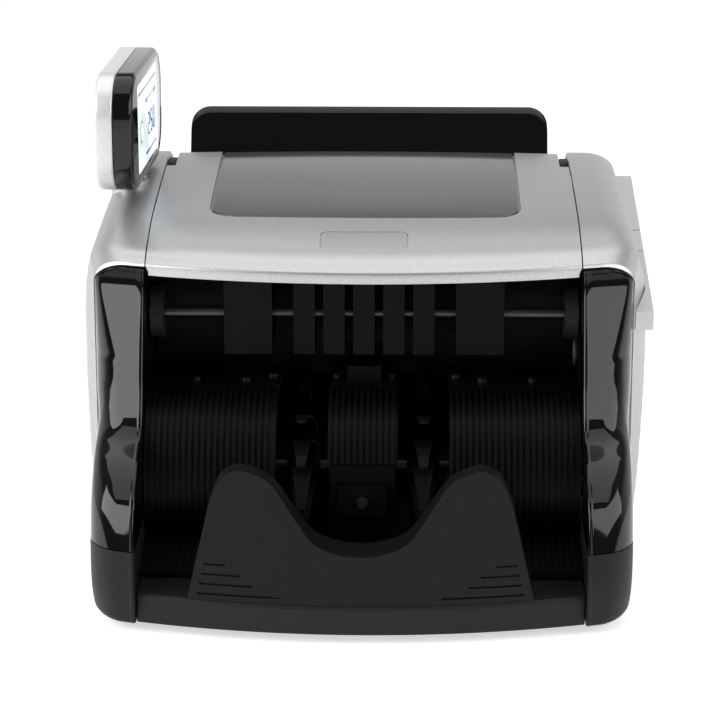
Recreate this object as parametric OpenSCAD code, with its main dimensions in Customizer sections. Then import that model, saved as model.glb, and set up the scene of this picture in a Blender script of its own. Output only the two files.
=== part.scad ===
// Banknote counting machine: rear hopper, hinged top cover, paddle wheel stacker with a front bill stop, and a
// swivelling side display. Millimetres, +Z up, -Y is the operator's side.

/* [Body] */
// Inside width of the note throat, between the cheeks
throat_w = 202; // [192:1:212]
// Width of each black cheek, from the throat outwards
cheek_w = 24.5; // [23:0.5:27]
// How far each silver side stands out past its cheek
side_bow = 10.5; // [9:0.5:12]
// Plan radius of the base front and of the cover's lip
front_r = 364; // [340:2:400]
// From the machine's middle to the front of the base
body_front = 141; // [139:1:146]
// From the machine's middle to the outer face of the rear panel
body_rear = 123; // [121:1:127]
// Wall of the plastic shells
wall = 3; // [2.5:0.5:3.5]
// Gap between neighbouring shells
seam = 0.5; // [0.4:0.1:0.7]
// Height of the rubber feet
foot_h = 4; // [3:0.5:6]
// Radius of a rubber foot
foot_r = 9; // [7:0.5:10]

/* [Front] */
// Height of the band along the base front
band_h = 14; // [12:1:15]
// Thickness of the base pan
pan_t = 3; // [2.5:0.5:4]
// Height of the satin skirt under each gloss cheek
skirt_h = 34; // [30:1:38]
// Width of the bill stop at its foot
stop_w = 155; // [145:1:165]
// Height of the bill stop's two peaks above the band
stop_h = 62; // [56:1:66]
// Height of the dip between the peaks above the band
stop_dip = 23; // [18:1:30]
// Thickness of the bill stop at its peaks
stop_t = 10; // [9:0.5:12]

/* [Cover] */
// From the machine's middle to the front of the cover's lip
lip_front = 65; // [62:1:68]
// Height of the lip's underside above the body's bottom edge
lip_h = 141; // [139:1:144]
// Thickness of the lip
lip_t = 6; // [5:0.5:7]
// Height of the cover's rear edge above the body's bottom edge
cover_h = 168; // [167:0.5:170]
// From the machine's middle to the cover's rear edge
cover_rear = 97; // [95:1:99]
// Width of the plate let into the cover
inset_w = 146; // [130:1:160]
// Length of the plate let into the cover
inset_d = 112; // [100:1:118]
// Radius of a hinge pin
hinge_r = 2.5; // [2:0.25:3]

/* [Stacker] */
// Tip radius of a stacker wheel
wheel_r = 41; // [38:0.5:42]
// Width of a stacker wheel at its hub
wheel_w = 15; // [12:0.5:18]
// Distance from the middle to the centre of each stacker wheel
wheel_x = 28; // [26:0.5:32]
// Number of blades on a stacker wheel
blades = 12; // [8:1:14]
// Outer radius of the ribbed note guide
guide_r = 37; // [35:0.5:37]
// Pitch of the guide's ribs
rib_pitch = 2.9; // [2.6:0.1:3.6]
// Radius of the main steel shafts
shaft_r = 4; // [3:0.25:4.5]

/* [Feed] */
// Radius of the rubber feed rollers
feed_r = 18; // [16:0.5:18.5]
// Radius of the pick-up rollers under the hopper
pickup_r = 14; // [13:0.25:14.5]
// Radius of the grey exit rollers
exit_r = 12; // [10:0.5:13]
// Thickness of a frame plate
frame_t = 2; // [1.5:0.25:2.5]
// Radius of the drive motor's can
motor_r = 22; // [18:0.5:24]
// Length of the drive motor's can
motor_l = 55; // [45:1:58]
// Width of a flat belt
belt_w = 5; // [4:0.5:6]

/* [Hopper] */
// Width of the hopper backrest
rest_w = 185; // [176:1:187]
// Length of the backrest from its pivot to its top edge
rest_l = 36; // [30:1:40]
// Thickness of the backrest
rest_t = 6; // [5:0.5:7]
// Lean of the backrest from upright, in degrees
rest_lean = 28; // [20:1:32]
// Thickness of a hopper side guide
hopper_guide_t = 3; // [2:0.5:3.5]

/* [Display] */
// Length of the side display
display_l = 102; // [92:1:106]
// Height of the side display
display_h = 57; // [52:1:62]
// Depth of the display's silver back shell
display_back_t = 9; // [8:0.5:10]
// Depth of the display's black front shell
display_front_t = 9.6; // [8:0.2:11]
// Corner radius of the display
display_corner = 20; // [14:0.5:24]
// Radius of the display's post
post_r = 6; // [5:0.5:6.5]

/* [Hidden] */
$fn = 64;
// Running clearance of a shaft in its bearing, and a close seat between fixed pieces
run = 0.05;
seat = 0.3;
body_z = foot_h;
tw = throat_w / 2;
cheek_x = tw + cheek_w;
side_x = cheek_x + side_bow;
seam_y = -41;
lip_z = body_z + lip_h;
cheek_top = lip_z + 1;
cover_z = body_z + cover_h;
band_z = body_z + band_h;
skirt_z = body_z + skirt_h;
base_axis = front_r - body_front;
lip_axis = front_r - lip_front;
corner_y = base_axis - sqrt(pow(front_r, 2) - pow(tw, 2));
rear_y = body_rear;

// Places of the shafts, as [y, z]
stacker_at = [-47, body_z + 48];
exit_at = [-29, lip_z - 23];
feed_at = [20, body_z + 114];
pickup_at = [84, body_z + 119];
motor_at = [60, body_z + 46];
pin_at = [cover_rear - 9, cover_z - 9];
frame_x = tw + wall + seam;
frame_out = frame_x + frame_t;
exit_shaft_r = 3;
bearing_r = 8;
bearing_lip = 1.5;
hub_r = 12;
feed_x = [22, 42];
pickup_x = [27, 43];
blade_t = 1.8;
blade_tip = 4;
slot_gap = 4.5;
slot_in = wheel_x - wheel_w / 2 - slot_gap;
slot_out = wheel_x + wheel_w / 2 + slot_gap;
badge_w = 41;
guide_t = 3;
rib_d = 1;
guide_top = 100;
guide_end = -40;
centre_end = 20;
screw_r = 2.6;
screw_h = 1.5;
deck_t = 3;
deck_z = stacker_at[1] + guide_r * sin(guide_top);
deck_y = stacker_at[0] - guide_r * cos(guide_top);
comb_y = -4;
comb_t = 2.5;
finger_w = 10;
finger_pitch = 14;
finger_front = exit_at[0] - 9;
floor_y = stacker_at[0] - guide_r * cos(guide_end);
floor_z = stacker_at[1] + guide_r * sin(guide_end);
floor_t = 3;
stop_back = front_r - 1 - stop_t;
stop_flare = 14;
floor_front = base_axis - sqrt(pow(stop_back - stop_flare, 2) - pow(stop_w / 2, 2)) + seat;
ledge_d = 26;
hopper_front = [62, body_z + 124];
knuckle_y = rear_y - 6;
hopper_back = [knuckle_y - seat, body_z + 144];
hopper_t = 3;
rest_at = [rear_y - 1, body_z + 149.5];
rest_barrel_r = rest_t / 2 + 2.5;
rest_pin_r = 2.5;
rest_pin_l = 7;
panel_top = rest_at[1] - rest_barrel_r - 1;
panel_t = 3;
post_at = [-(cheek_x - 9.5), 42];
display_z = cover_z - 0.5;
display_yaw = 2.9;
socket_wall = 3;
socket_top = display_z - 2;
pcb_t = 1.6;
pcb_z = body_z + pan_t + 6;
drive_x = frame_out + 9;
idle_x = frame_out + 2;
belt_t = 1.2;
belt_gap = 0.3;
motor_pulley_r = 10;
feed_pulley_r = 20;
stacker_pulley_r = 20;
small_pulley_r = 11;
inlet_at = [-80, body_z + 30];
switch_at = [-35, body_z + 30];
switch_h = 14;
rocker_in = 5.5;
rocker_tilt = 7;

// Curve of a few points: a Catmull-Rom spline with n steps to each span
function smooth(p, n = 3) = [
    for (i = [0 : len(p) - 2], k = [0 : n - (i == len(p) - 2 ? 0 : 1)])
        spline_point(p[max(i - 1, 0)], p[i], p[i + 1], p[min(i + 2, len(p) - 1)], k / n)
];
function spline_point(a, b, c, d, t) =
    0.5 * (2 * b + (c - a) * t + (2 * a - 5 * b + 4 * c - d) * pow(t, 2) + (3 * b - a - 3 * c + d) * pow(t, 3));
function turn(p, a) = [p[0] * cos(a) - p[1] * sin(a), p[0] * sin(a) + p[1] * cos(a)];

// A YZ outline drawn out along X, and an XZ outline drawn out along Y
module along_x(x0, x1) translate([x0, 0, 0]) rotate([90, 0, 90]) linear_extrude(x1 - x0) children();
module along_y(y0, y1) translate([0, y1, 0]) rotate([90, 0, 0]) linear_extrude(y1 - y0) children();
// A cylinder whose axis runs along X through p = [y, z]
module rod(p, r, x0, x1) translate([x0, p[0], p[1]]) rotate([0, 90, 0]) cylinder(r = r, h = x1 - x0);
// A radius and height outline turned about the vertical line at axis_y, on the operator's side
module bowed(axis_y, half_angle = 60)
    translate([0, axis_y, 0]) rotate([0, 0, 270 - half_angle]) rotate_extrude(angle = 2 * half_angle, $fn = 180)
        children();
module both_sides() {
    children();
    mirror([1, 0, 0]) children();
}

// Top of the body on its centre line, as [y, z], from the lip to the rear
function top_line(t) = smooth([
    [-lip_front + t, lip_z + lip_t - t], [-lip_front + 5 + t, lip_z + 8.2 - t], [-lip_front + 15, lip_z + 12 - t],
    [-16, lip_z + 19.5 - t], [44, cover_z - 2.8 - t], [cover_rear, cover_z - 0.8 - t], [rear_y + 60, cover_z + 1 - t]]);
// Roll-off of the body's top behind the cover, as [y, z]
function rear_line(t) = smooth([
    [cover_rear - 9, cover_z + 1 - t], [cover_rear + 1, cover_z - 0.4 - t], [cover_rear + 12, cover_z - 3.8 - t],
    [rear_y - 5, cover_z - 7 - t], [rear_y - 1.5, cover_z - 10 - t], [rear_y, cover_z - 15 - t]]);
// Outline of the body seen from the front, right half, from the foot of the side to the shoulder
function side_line(t) = smooth([
    [side_x - 11, body_z - 1], [side_x - 9, body_z + 6], [side_x - 5, body_z + 30], [side_x - 2, body_z + 60],
    [side_x, body_z + 95], [side_x - 2, body_z + 120], [side_x - 5, body_z + 136], [side_x - 8, body_z + 146],
    [side_x - 10, cover_z - 14], [side_x - 12.5, cover_z - 9], [side_x - 17, cover_z - 4.8],
    [side_x - 24, cover_z - 2.2], [side_x - 32, cover_z - 0.8], [tw - 8, cover_z + 0.5]]);
// Outline of the body seen from above, right side, from front to rear
plan_line = smooth([
    [cheek_x - 2.5, -lip_front - 6], [cheek_x + 0.5, seam_y], [side_x - 3.5, -15], [side_x, 10], [side_x - 0.5, 60],
    [side_x - 3.5, rear_y - 23], [side_x - 7, rear_y]]);
// Solid of the whole upper body, drawn in by t
module body_form(t) {
    intersection() {
        bowed(lip_axis) polygon(concat(
            [for (p = top_line(t)) [lip_axis - p[0], p[1]]],
            [[lip_axis - rear_y - 60, body_z - 1], [lip_axis + lip_front - t, body_z - 1]]));
        along_y(-lip_front - 5, rear_y) polygon(concat(
            [for (p = side_line(t)) [p[0] - t, p[1]]], [[0, cover_z + 4], [0, body_z - 1]]));
        along_x(-1, side_x + 1) polygon(concat(
            [[-lip_front - 6, body_z - 1], [-lip_front - 6, cover_z + 5], [0, cover_z + 5]],
            rear_line(t), [[rear_y, body_z - 1]]));
        translate([0, 0, body_z]) linear_extrude(cover_h + 8) polygon(concat(
            [for (p = plan_line) [p[0] - t, p[1]]], [[0, rear_y], [0, -lip_front - 6]]));
    }
}

// Front edge of a cheek at the throat, from top to bottom, drawn in by t, as [y, z]
function cheek_line(t) = concat(
    [[seam_y - 1, cheek_top - t]],
    smooth([
        [seam_y - 10.5 + t, cheek_top - t], [seam_y - 12.5 + t, lip_z - 5], [seam_y - 16 + t, lip_z - 15],
        [seam_y - 24 + t, lip_z - 38], [seam_y - 29 + t, body_z + 90], [seam_y - 35 + 0.8 * t, body_z + 79.5 - 0.5 * t],
        [seam_y - 43 + 0.5 * t, body_z + 72.5 - 0.9 * t], [seam_y - 60 + 0.3 * t, body_z + 66.5 - t],
        [seam_y - 72 + 0.7 * t, body_z + 60 - 0.7 * t], [corner_y + 4 + t, body_z + 50 - 0.3 * t],
        [corner_y - 2 + t, body_z + 32], [corner_y - 5 + t, body_z + 16], [corner_y - 2 + t, body_z]], 2));
// Outline of a cheek seen from the front, right side, its foot raised by t
function cheek_side(t) = [
    [cheek_x - 9, body_z - (t > 0 ? -t : 1)], [cheek_x - 5, body_z + 2 + t], [cheek_x - 3.5, body_z + 6 + t],
    [cheek_x - 2.5, body_z + 26], [cheek_x - 2.5, body_z + 72], [cheek_x - 1, body_z + 88], [cheek_x, body_z + 106],
    [cheek_x, lip_z - 13], [cheek_x - 1, lip_z - 4], [cheek_x - 4, lip_z - 1], [cheek_x - 9, cheek_top]];
module cheek_form(t, x_in) {
    lean = asin((tw + cheek_w / 2) / front_r);
    intersection() {
        translate([tw, 0, 0]) rotate([0, 0, lean]) along_x(-60, 50) polygon(concat(
            [for (p = cheek_line(t)) [p[0] * cos(lean), p[1]]], [[0, body_z], [0, cheek_top - t]]));
        along_y(-body_front - 10, seam_y - (t > 0 ? -1 : seam / 2)) polygon(concat(
            [for (p = cheek_side(t)) [p[0] - t, p[1]]],
            [[x_in, cheek_top], [x_in, t > 0 ? body_z + wall : body_z - 1]]));
    }
}
// One black front cheek, hollow behind, with the throat's side wall reaching back from it
module cheek_half(z0, z1, wall_back) {
    difference() {
        union() {
            intersection() {
                cheek_form(0, tw);
                translate([0, -body_front, z0]) cube([cheek_x + 5, 2 * body_front, z1 - z0]);
            }
            translate([tw, seam_y - 5, z0 + (z0 > body_z ? 0 : band_h)])
                cube([wall, wall_back - seam_y + 5, min(z1, lip_z - 2) - z0 - (z0 > body_z ? 0 : band_h)]);
        }
        cheek_form(wall, tw + wall);
        for (p = [stacker_at, exit_at]) rod(p, shaft_r + 1, tw - 1, tw + wall + 1);
    }
}
module left_cheek() color("#141416") mirror([1, 0, 0]) cheek_half(skirt_z + seam, cheek_top, comb_y);
module right_cheek() color("#141416") cheek_half(skirt_z + seam, cheek_top, comb_y);
module left_skirt() color("#2b2b2e") mirror([1, 0, 0]) cheek_half(body_z, skirt_z, comb_y);
module right_skirt() color("#2b2b2e") cheek_half(body_z, skirt_z, comb_y);

// Band along the base front, with a ledge that carries the bill stop
module base_front() color("#262529") {
    intersection() {
        bowed(base_axis, 30) difference() {
            translate([front_r - ledge_d, body_z]) square([ledge_d, band_h]);
            translate([front_r - ledge_d - 1, body_z - 1]) square([ledge_d + 1 - wall, band_h - wall + 1]);
        }
        translate([-tw + seam, -body_front - 1, body_z - 1]) cube([2 * (tw - seam), body_front, band_h + 2]);
    }
}
// Pan that closes the underside, narrow between the skirts and wide between the sides
module base_pan() color("#1d1d1f") {
    intersection() {
        bowed(base_axis, 30) translate([base_axis, body_z]) square([front_r - wall - seat - base_axis, pan_t]);
        translate([-tw + seam, -body_front, body_z]) cube([2 * (tw - seam), body_front + seam_y + 1, pan_t]);
    }
    translate([-cheek_x + 6, seam_y + seam, body_z]) cube([2 * cheek_x - 12, rear_y - panel_t - 1 - seam_y, pan_t]);
}
module rubber_feet() color("#101010") {
    both_sides() {
        translate([tw - 16, -98, 0]) cylinder(r = foot_r, h = foot_h);
        translate([tw, 98, 0]) cylinder(r = foot_r, h = foot_h);
    }
}

// Silver side shell, with vents low at the rear
module side_cover_half() {
    difference() {
        intersection() {
            body_form(0);
            union() {
                translate([tw, seam_y + seam / 2, body_z]) cube([cheek_w + side_bow + 1, 2 * body_front, cover_h + 8]);
                translate([tw, -lip_front - 2, cheek_top + seam]) cube([cheek_w + side_bow + 1, 60, cover_h]);
            }
        }
        body_form(wall);
        for (i = [0 : 5])
            translate([side_x - 22, 62 + i * 7, body_z + 28]) cube([30, 3, 34]);
    }
    difference() {
        intersection() {
            body_form(0);
            translate([tw - 3.8, cover_rear - 24, pin_at[1] - 5]) cube([3.8 + wall, 23, 30]);
        }
        rod(pin_at, hinge_r + 0.02, tw - 5, tw + wall + 1);
    }
}
module left_side_cover() color("#b9bbbe") {
    difference() {
        mirror([1, 0, 0]) side_cover_half();
        translate([post_at[0], post_at[1], cover_z - 30]) cylinder(r = post_r + socket_wall + 0.02, h = 40);
    }
}
module right_side_cover() color("#b9bbbe") side_cover_half();

// Raised rail along the right shoulder, in three lengths
module side_rail() color("#c4c6c8") {
    rail_rear = [rear_y - 6, body_z + 150];
    rail_front = [-36, body_z + 121];
    rail_h = 9;
    difference() {
        along_x(cheek_x - 6, side_x - 0.5) for (s = [[0, 0.42], [0.428, 0.572], [0.58, 1]])
            polygon([for (q = [[s[0], 0], [s[1], 0], [s[1], rail_h], [s[0], rail_h]])
                rail_rear + (rail_front - rail_rear) * q[0] - [0, q[1]]]);
        body_form(0);
    }
}

// Rear panel with the mains inlet and switch cut-outs and vents
module rear_panel() color("#1b1b1d") {
    difference() {
        intersection() {
            both_sides() body_form(wall + seat);
            translate([-side_x, rear_y - panel_t, body_z]) cube([2 * side_x, panel_t, panel_top - body_z]);
        }
        for (i = [0 : 5]) translate([slot_out + 8 + i * 9, rear_y - panel_t - 1, body_z + 20]) cube([4, panel_t + 2, 50]);
        translate([inlet_at[0] - 14, rear_y - panel_t - 1, inlet_at[1] - 10.5]) cube([28, panel_t + 2, 21]);
        translate([switch_at[0] - 10.5, rear_y - panel_t - 1, switch_at[1] - switch_h / 2])
            cube([21, panel_t + 2, switch_h]);
    }
}

// Steel side plate with seats for the bearings, the motor's neck and the hinge pin
module frame_plate(motor_side) {
    difference() {
        along_x(frame_x, frame_out) polygon([
            [stacker_at[0] - 18, body_z + pan_t], [stacker_at[0] - 18, stacker_at[1] + 16],
            [exit_at[0] - 14, exit_at[1] - 20], [exit_at[0] - 14, lip_z - 12], [10, lip_z + 6],
            [pin_at[0] - 16, pin_at[1] - 6], [pin_at[0] - 5, pin_at[1] + hinge_r + 1],
            [pin_at[0] + 5, pin_at[1] + hinge_r + 1],
            [rear_y - panel_t - seat, panel_top - 4], [rear_y - panel_t - seat, body_z + pan_t]]);
        for (p = [stacker_at, exit_at, feed_at, pickup_at]) rod(p, bearing_r + 0.02, frame_x - 1, frame_out + 1);
        rod(pin_at, hinge_r + 0.02, frame_x - 1, frame_out + 1);
        if (motor_side) rod(motor_at, 7, frame_x - 1, frame_out + 1);
        along_x(frame_x - 1, frame_out + 1) {
            translate([10, body_z + 30]) square([26, 34]);
            translate([90, body_z + 30]) square([16, 60]);
        }
    }
}
module left_frame() color("#9a9c9e") mirror([1, 0, 0]) frame_plate(false);
module right_frame() color("#9a9c9e") frame_plate(true);
// Round bars that hold the two frame plates apart
module tie_rods() color("#8f9194") {
    for (p = [[2, body_z + 20], [110, body_z + 112], [50, body_z + 84]]) rod(p, 4, -frame_x, frame_x);
}

// Hinged top cover with its thick lip, a blank badge recess and two hinge ears
module top_cover() color("#b9bbbe") {
    ear_x = tw - 8.5;
    difference() {
        union() {
            difference() {
                both_sides() intersection() {
                    body_form(0);
                    translate([-1, -lip_front - 1, lip_z]) cube([tw - seam + 1, cover_rear + lip_front + 1, 60]);
                }
                both_sides() intersection() {
                    body_form(wall);
                    translate([-1, -body_front, 0]) cube([tw - seam - wall + 1, 2 * body_front, 300]);
                }
            }
            intersection() {
                bowed(lip_axis, 30) translate([front_r - 9, lip_z]) square([8, lip_t]);
                translate([-tw + 2, -body_front, lip_z]) cube([2 * tw - 4, 200, lip_t]);
            }
        }
        both_sides() translate([tw - 5, cover_rear - 26, lip_z]) cube([10, 30, 60]);
        cover_recess(0);
        translate([0, -lip_front + 19, lip_z + 12.4]) badge_recess();
    }
    both_sides() difference() {
        rod(pin_at, hinge_r + 3.5, ear_x, ear_x + wall);
        rod(pin_at, hinge_r + run, ear_x - 1, ear_x + wall + 1);
    }
}
// Shallow blank recess where a badge would sit
module badge_recess() {
    rotate([14, 0, 0]) translate([-badge_w / 2, 0, 0]) cube([badge_w, 16, 12]);
}
// Outline of the plate let into the cover, drawn out by g
module inset_outline(g) {
    r = 12;
    y0 = cover_rear - inset_d - g;
    half = inset_w / 2 + g;
    translate([-half, y0 + r]) square([2 * half, inset_d + 2 * g - r]);
    translate([-half + r, y0]) square([2 * half - 2 * r, r + 1]);
    for (x = [-half + r, half - r]) translate([x, y0 + r]) circle(r = r);
}
// Groove and seat for the plate: the upper part of the cover's skin inside the outline
module cover_recess(g) {
    difference() {
        translate([0, 0, lip_z]) linear_extrude(60) inset_outline(1.2);
        both_sides() body_form(1.4);
    }
}
// Grey plate let into the cover
module cover_inset() color("#8e9093") {
    both_sides() intersection() {
        difference() {
            body_form(0);
            body_form(1.4);
        }
        translate([-1, 0, lip_z]) linear_extrude(60) intersection() {
            inset_outline(0);
            translate([0, -100]) square([200, 100 + cover_rear]);
        }
    }
}
module hinge_pins() color("#a8aaac") both_sides() rod(pin_at, hinge_r, tw - 8.8, frame_out);

// Front bill stop: a bowed wedge with two peaks and a dip, ribbed with four grooves a side
module bill_stop() color("#242427") {
    foot = stop_w / 2;
    peak_x = 55;
    top = band_z + stop_h;
    dip = band_z + stop_dip;
    outer = [[foot, band_z], [foot - 10.5, band_z + stop_h * 0.74]];
    rise = smooth([[foot - 10.5, band_z + stop_h * 0.74], [foot - 15.5, top - 5], [peak_x, top],
        [peak_x - 7, top - 1], [39, top - 6], [28, dip + 16], [20.5, dip + 6], [10, dip + 1.3], [0, dip]], 3);
    front = front_r - 1;
    difference() {
        intersection() {
            bowed(base_axis, 20) polygon([[front, band_z], [front, top], [stop_back, top], [stop_back - stop_flare, band_z]]);
            both_sides() along_y(-body_front - 1, -body_front / 2) polygon(concat(outer, rise, [[0, band_z]]));
        }
        intersection() {
            bowed(base_axis, 20) polygon([[front - 2.5, band_z - 1], [front - 2.5, dip - 3],
                [stop_back - 5.5, dip - 3], [stop_back - 11.5, band_z - 1]]);
            translate([-foot + 3, -body_front, band_z - 1]) cube([2 * foot - 6, body_front, stop_h]);
        }
        both_sides() for (i = [0 : 3]) intersection() {
            bowed(base_axis, 20) translate([front - 0.8, band_z + 3.2 + 4.7 * i]) square([2, 1]);
            translate([[35, 47, 53, 60][i], -body_front - 1, 0]) cube([foot, 60, 100]);
        }
    }
}

// Comb outline along X between x0 and x1: depth d, ribs standing r above it
function comb(x0, x1, d, r) = concat([[x0, 0]], [for (i = [0 : floor((x1 - x0) / rib_pitch) - 1], q = [[0, 0], [0, r],
    [rib_pitch * 0.55, r], [rib_pitch * 0.55, 0]]) [x0 + i * rib_pitch + q[0], d + q[1]]], [[x1, d], [x1, 0]]);
// Ribbed floor of the pocket, sloping from under the guide down to the ledge, with slots for the wheels
module stacker_floor() color("#1f1f22") {
    rear = [floor_y + 3, floor_z - seat];
    front = [floor_front, band_z + seat + floor_t + rib_d];
    difference() {
        union() {
            along_x(-tw + seam, tw - seam) floor_strip(front, rear, -rib_d, floor_t);
            for (i = [0 : floor((tw - 2 * seam) / rib_pitch) - 1]) both_sides()
                along_x((i + 0.2) * rib_pitch, (i + 0.75) * rib_pitch) floor_strip(front, rear, 0, 2 * rib_d);
        }
        both_sides() translate([slot_in, stacker_at[0] - wheel_r - 3, 0]) cube([slot_out - slot_in, 100, 100]);
    }
}
// Sloping strip in the YZ plane between two points, from top above them down by t
module floor_strip(front, rear, top, t)
    polygon([front + [0, top], rear + [0, top], rear + [0, top - t], front + [0, top - t]]);
// Ribbed guide around the stacker shaft from x0 to x1, from angle a0 up to a1
module guide_arc(x0, x1, a0, a1) {
    translate([0, stacker_at[0], stacker_at[1]]) rotate([0, 90, 0]) rotate([0, 0, 270 - a1 + 0])
        rotate_extrude(angle = a1 - a0, $fn = 120)
            polygon([for (p = comb(x0, x1, guide_t, rib_d)) [guide_r - guide_t - rib_d + p[1], p[0]]]);
}
module left_guide() color("#1f1f22") guide_arc(-tw + seam, -slot_out, guide_end, guide_top);
module centre_guide() color("#1f1f22") guide_arc(-slot_in, slot_in, centre_end, guide_top);
module right_guide() color("#1f1f22") guide_arc(slot_out, tw - seam, guide_end, guide_top);
// Bracket between the wheels, under the centre guide
module centre_bracket() color("#17171a") {
    front = stacker_at[0] - guide_r + 6;
    bracket_top = stacker_at[1] + (guide_r - guide_t - rib_d) * sin(centre_end) - seat;
    translate([-slot_in + 1, front, floor_z]) cube([2 * slot_in - 2, 4, bracket_top - floor_z]);
    translate([-11, front - 6, stacker_at[1] - 12]) cube([22, 6, 14]);
}

// Deck behind the wheels that carries the sensors
module sensor_deck() color("#1b1b1e") {
    difference() {
        translate([-tw + seam, deck_y + seat, deck_z - deck_t]) cube([2 * (tw - seam), comb_y + comb_t - deck_y, deck_t]);
        both_sides() translate([slot_in, deck_y - 1, deck_z - 20])
            cube([slot_out - slot_in, stacker_at[0] + wheel_r + 2 - deck_y, 40]);
    }
}
// Pan-head screws along the deck, and one in the centre bracket
module small_screws() color("#8d8f92") {
    both_sides() {
        for (x = [tw - 21, tw - 45]) translate([x, deck_y + 12, deck_z]) cylinder(r = screw_r, h = screw_h);
        for (x = [slot_out + 3.5, slot_in - 3.5])
            translate([x, deck_y + 18, deck_z]) cylinder(r = screw_r, h = screw_h);
    }
    translate([0, stacker_at[0] - guide_r, stacker_at[1] - 5]) rotate([90, 0, 0]) cylinder(r = screw_r, h = screw_h);
}
module sensor_block() color("#2c2c30") translate([-8, deck_y + 8, deck_z]) cube([16, 14, 8]);
// Upright comb above the deck: a plate with fingers that reach forward round the exit shaft
module guide_comb() color("#141416") {
    half = tw - 1;
    difference() {
        union() {
            translate([-half, comb_y, deck_z]) cube([2 * half, comb_t, lip_z - deck_z - 8]);
            for (i = [-2 : 2]) comb_finger(i * finger_pitch - finger_w / 2, finger_w);
            both_sides() comb_finger(3 * finger_pitch + 1, 2.25 * finger_w);
        }
        rod(exit_at, exit_shaft_r + 0.4, -tw, tw);
    }
}
module comb_finger(x, w)
    translate([x, finger_front, exit_at[1] - 18]) cube([w, comb_y + 1 - finger_front, lip_z - 6 - exit_at[1] + 18]);

// One curved blade in the YZ plane, rooted in the hub at angle a
module blade(a) {
    steps = 8;
    sweep = 42;
    polygon([for (side = [-1, 1], k = [0 : steps])
        let (t = (side < 0 ? k : steps - k) / steps, r = hub_r - 1 + (wheel_r - hub_r + 1) * t,
            w = blade_t * (1 - 0.4 * t) / 2)
        turn([r, side * w], a + sweep * pow(t, 1.4))]);
}
// Paddle wheel: curved blades that narrow towards their tips
module stacker_wheel(x) {
    difference() {
        union() {
            intersection() {
                translate([x - wheel_w / 2, stacker_at[0], stacker_at[1]]) rotate([90, 0, 90])
                    linear_extrude(wheel_w) for (i = [0 : blades - 1]) blade(i * 360 / blades);
                translate([x, stacker_at[0], stacker_at[1]]) rotate([0, 90, 0]) rotate_extrude()
                    polygon([[0, -wheel_w / 2], [hub_r, -wheel_w / 2], [wheel_r, -blade_tip / 2],
                        [wheel_r, blade_tip / 2], [hub_r, wheel_w / 2], [0, wheel_w / 2]]);
            }
            rod(stacker_at, hub_r, x - wheel_w / 2, x + wheel_w / 2);
        }
        rod(stacker_at, shaft_r, x - wheel_w, x + wheel_w);
    }
}
module left_stacker_wheel() color("#1c1c1f") stacker_wheel(-wheel_x);
module right_stacker_wheel() color("#1c1c1f") stacker_wheel(wheel_x);
module stacker_shaft() color("#b5b7b9") rod(stacker_at, shaft_r, -frame_out - 1, idle_x + belt_w + 1);
module stacker_pulley() color("#8d8f92") pulley(stacker_at, stacker_pulley_r, idle_x);

// Flat pulley on a main shaft, and its flat belt
module pulley(p, r, x) difference() {
    rod(p, r, x, x + belt_w);
    rod(p, shaft_r, x - 1, x + belt_w + 1);
}
module belt_loop(p, r, q, s) hull() {
    translate(p) circle(r = r);
    translate(q) circle(r = s);
}
module belt(p, r, q, s, x) difference() {
    along_x(x + seat, x + belt_w - seat) belt_loop(p, r + belt_gap + belt_t, q, s + belt_gap + belt_t);
    along_x(x, x + belt_w) belt_loop(p, r + belt_gap, q, s + belt_gap);
}

module exit_shaft() color("#b5b7b9") rod(exit_at, exit_shaft_r, -idle_x - belt_w - 1, frame_out + 1);
module exit_rollers() color("#6a6a6d") both_sides() difference() {
    rod(exit_at, exit_r, tw - 7, tw - 1);
    rod(exit_at, exit_shaft_r, tw - 8, tw);
}
module exit_pulley() color("#8d8f92") mirror([1, 0, 0]) difference() {
    rod(exit_at, small_pulley_r, idle_x, idle_x + belt_w);
    rod(exit_at, exit_shaft_r, idle_x - 1, idle_x + belt_w + 1);
}
module feed_shaft() color("#b5b7b9") rod(feed_at, shaft_r, -drive_x - belt_w - 1, drive_x + belt_w + 1);
module feed_rollers() color("#2a2a2c") both_sides() difference() {
    rod(feed_at, feed_r, feed_x[0], feed_x[1]);
    rod(feed_at, shaft_r, feed_x[0] - 1, feed_x[1] + 1);
}
module feed_pulleys() color("#8d8f92") {
    pulley(feed_at, small_pulley_r, idle_x);
    pulley(feed_at, feed_pulley_r, drive_x);
    mirror([1, 0, 0]) pulley(feed_at, small_pulley_r, idle_x);
    mirror([1, 0, 0]) pulley(feed_at, small_pulley_r, drive_x);
}
module pickup_shaft() color("#b5b7b9") rod(pickup_at, shaft_r, -drive_x - belt_w - 1, frame_out + 1);
module pickup_rollers() color("#2a2a2c") both_sides() difference() {
    rod(pickup_at, pickup_r, pickup_x[0], pickup_x[1]);
    rod(pickup_at, shaft_r, pickup_x[0] - 1, pickup_x[1] + 1);
}
module pickup_pulley() color("#8d8f92") mirror([1, 0, 0]) pulley(pickup_at, small_pulley_r, drive_x);
// Ball bearings pressed into the frame plates, drawn as plain rings
module shaft_bearings() color("#c0c2c4") both_sides() {
    for (p = [[stacker_at, shaft_r], [exit_at, exit_shaft_r], [feed_at, shaft_r], [pickup_at, shaft_r]]) difference() {
        union() {
            rod(p[0], bearing_r, frame_x - seat, frame_out + bearing_lip);
            rod(p[0], bearing_r + 1, frame_out, frame_out + bearing_lip);
        }
        rod(p[0], p[1] + run, frame_x - 1, frame_out + bearing_lip + 1);
    }
}

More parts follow.
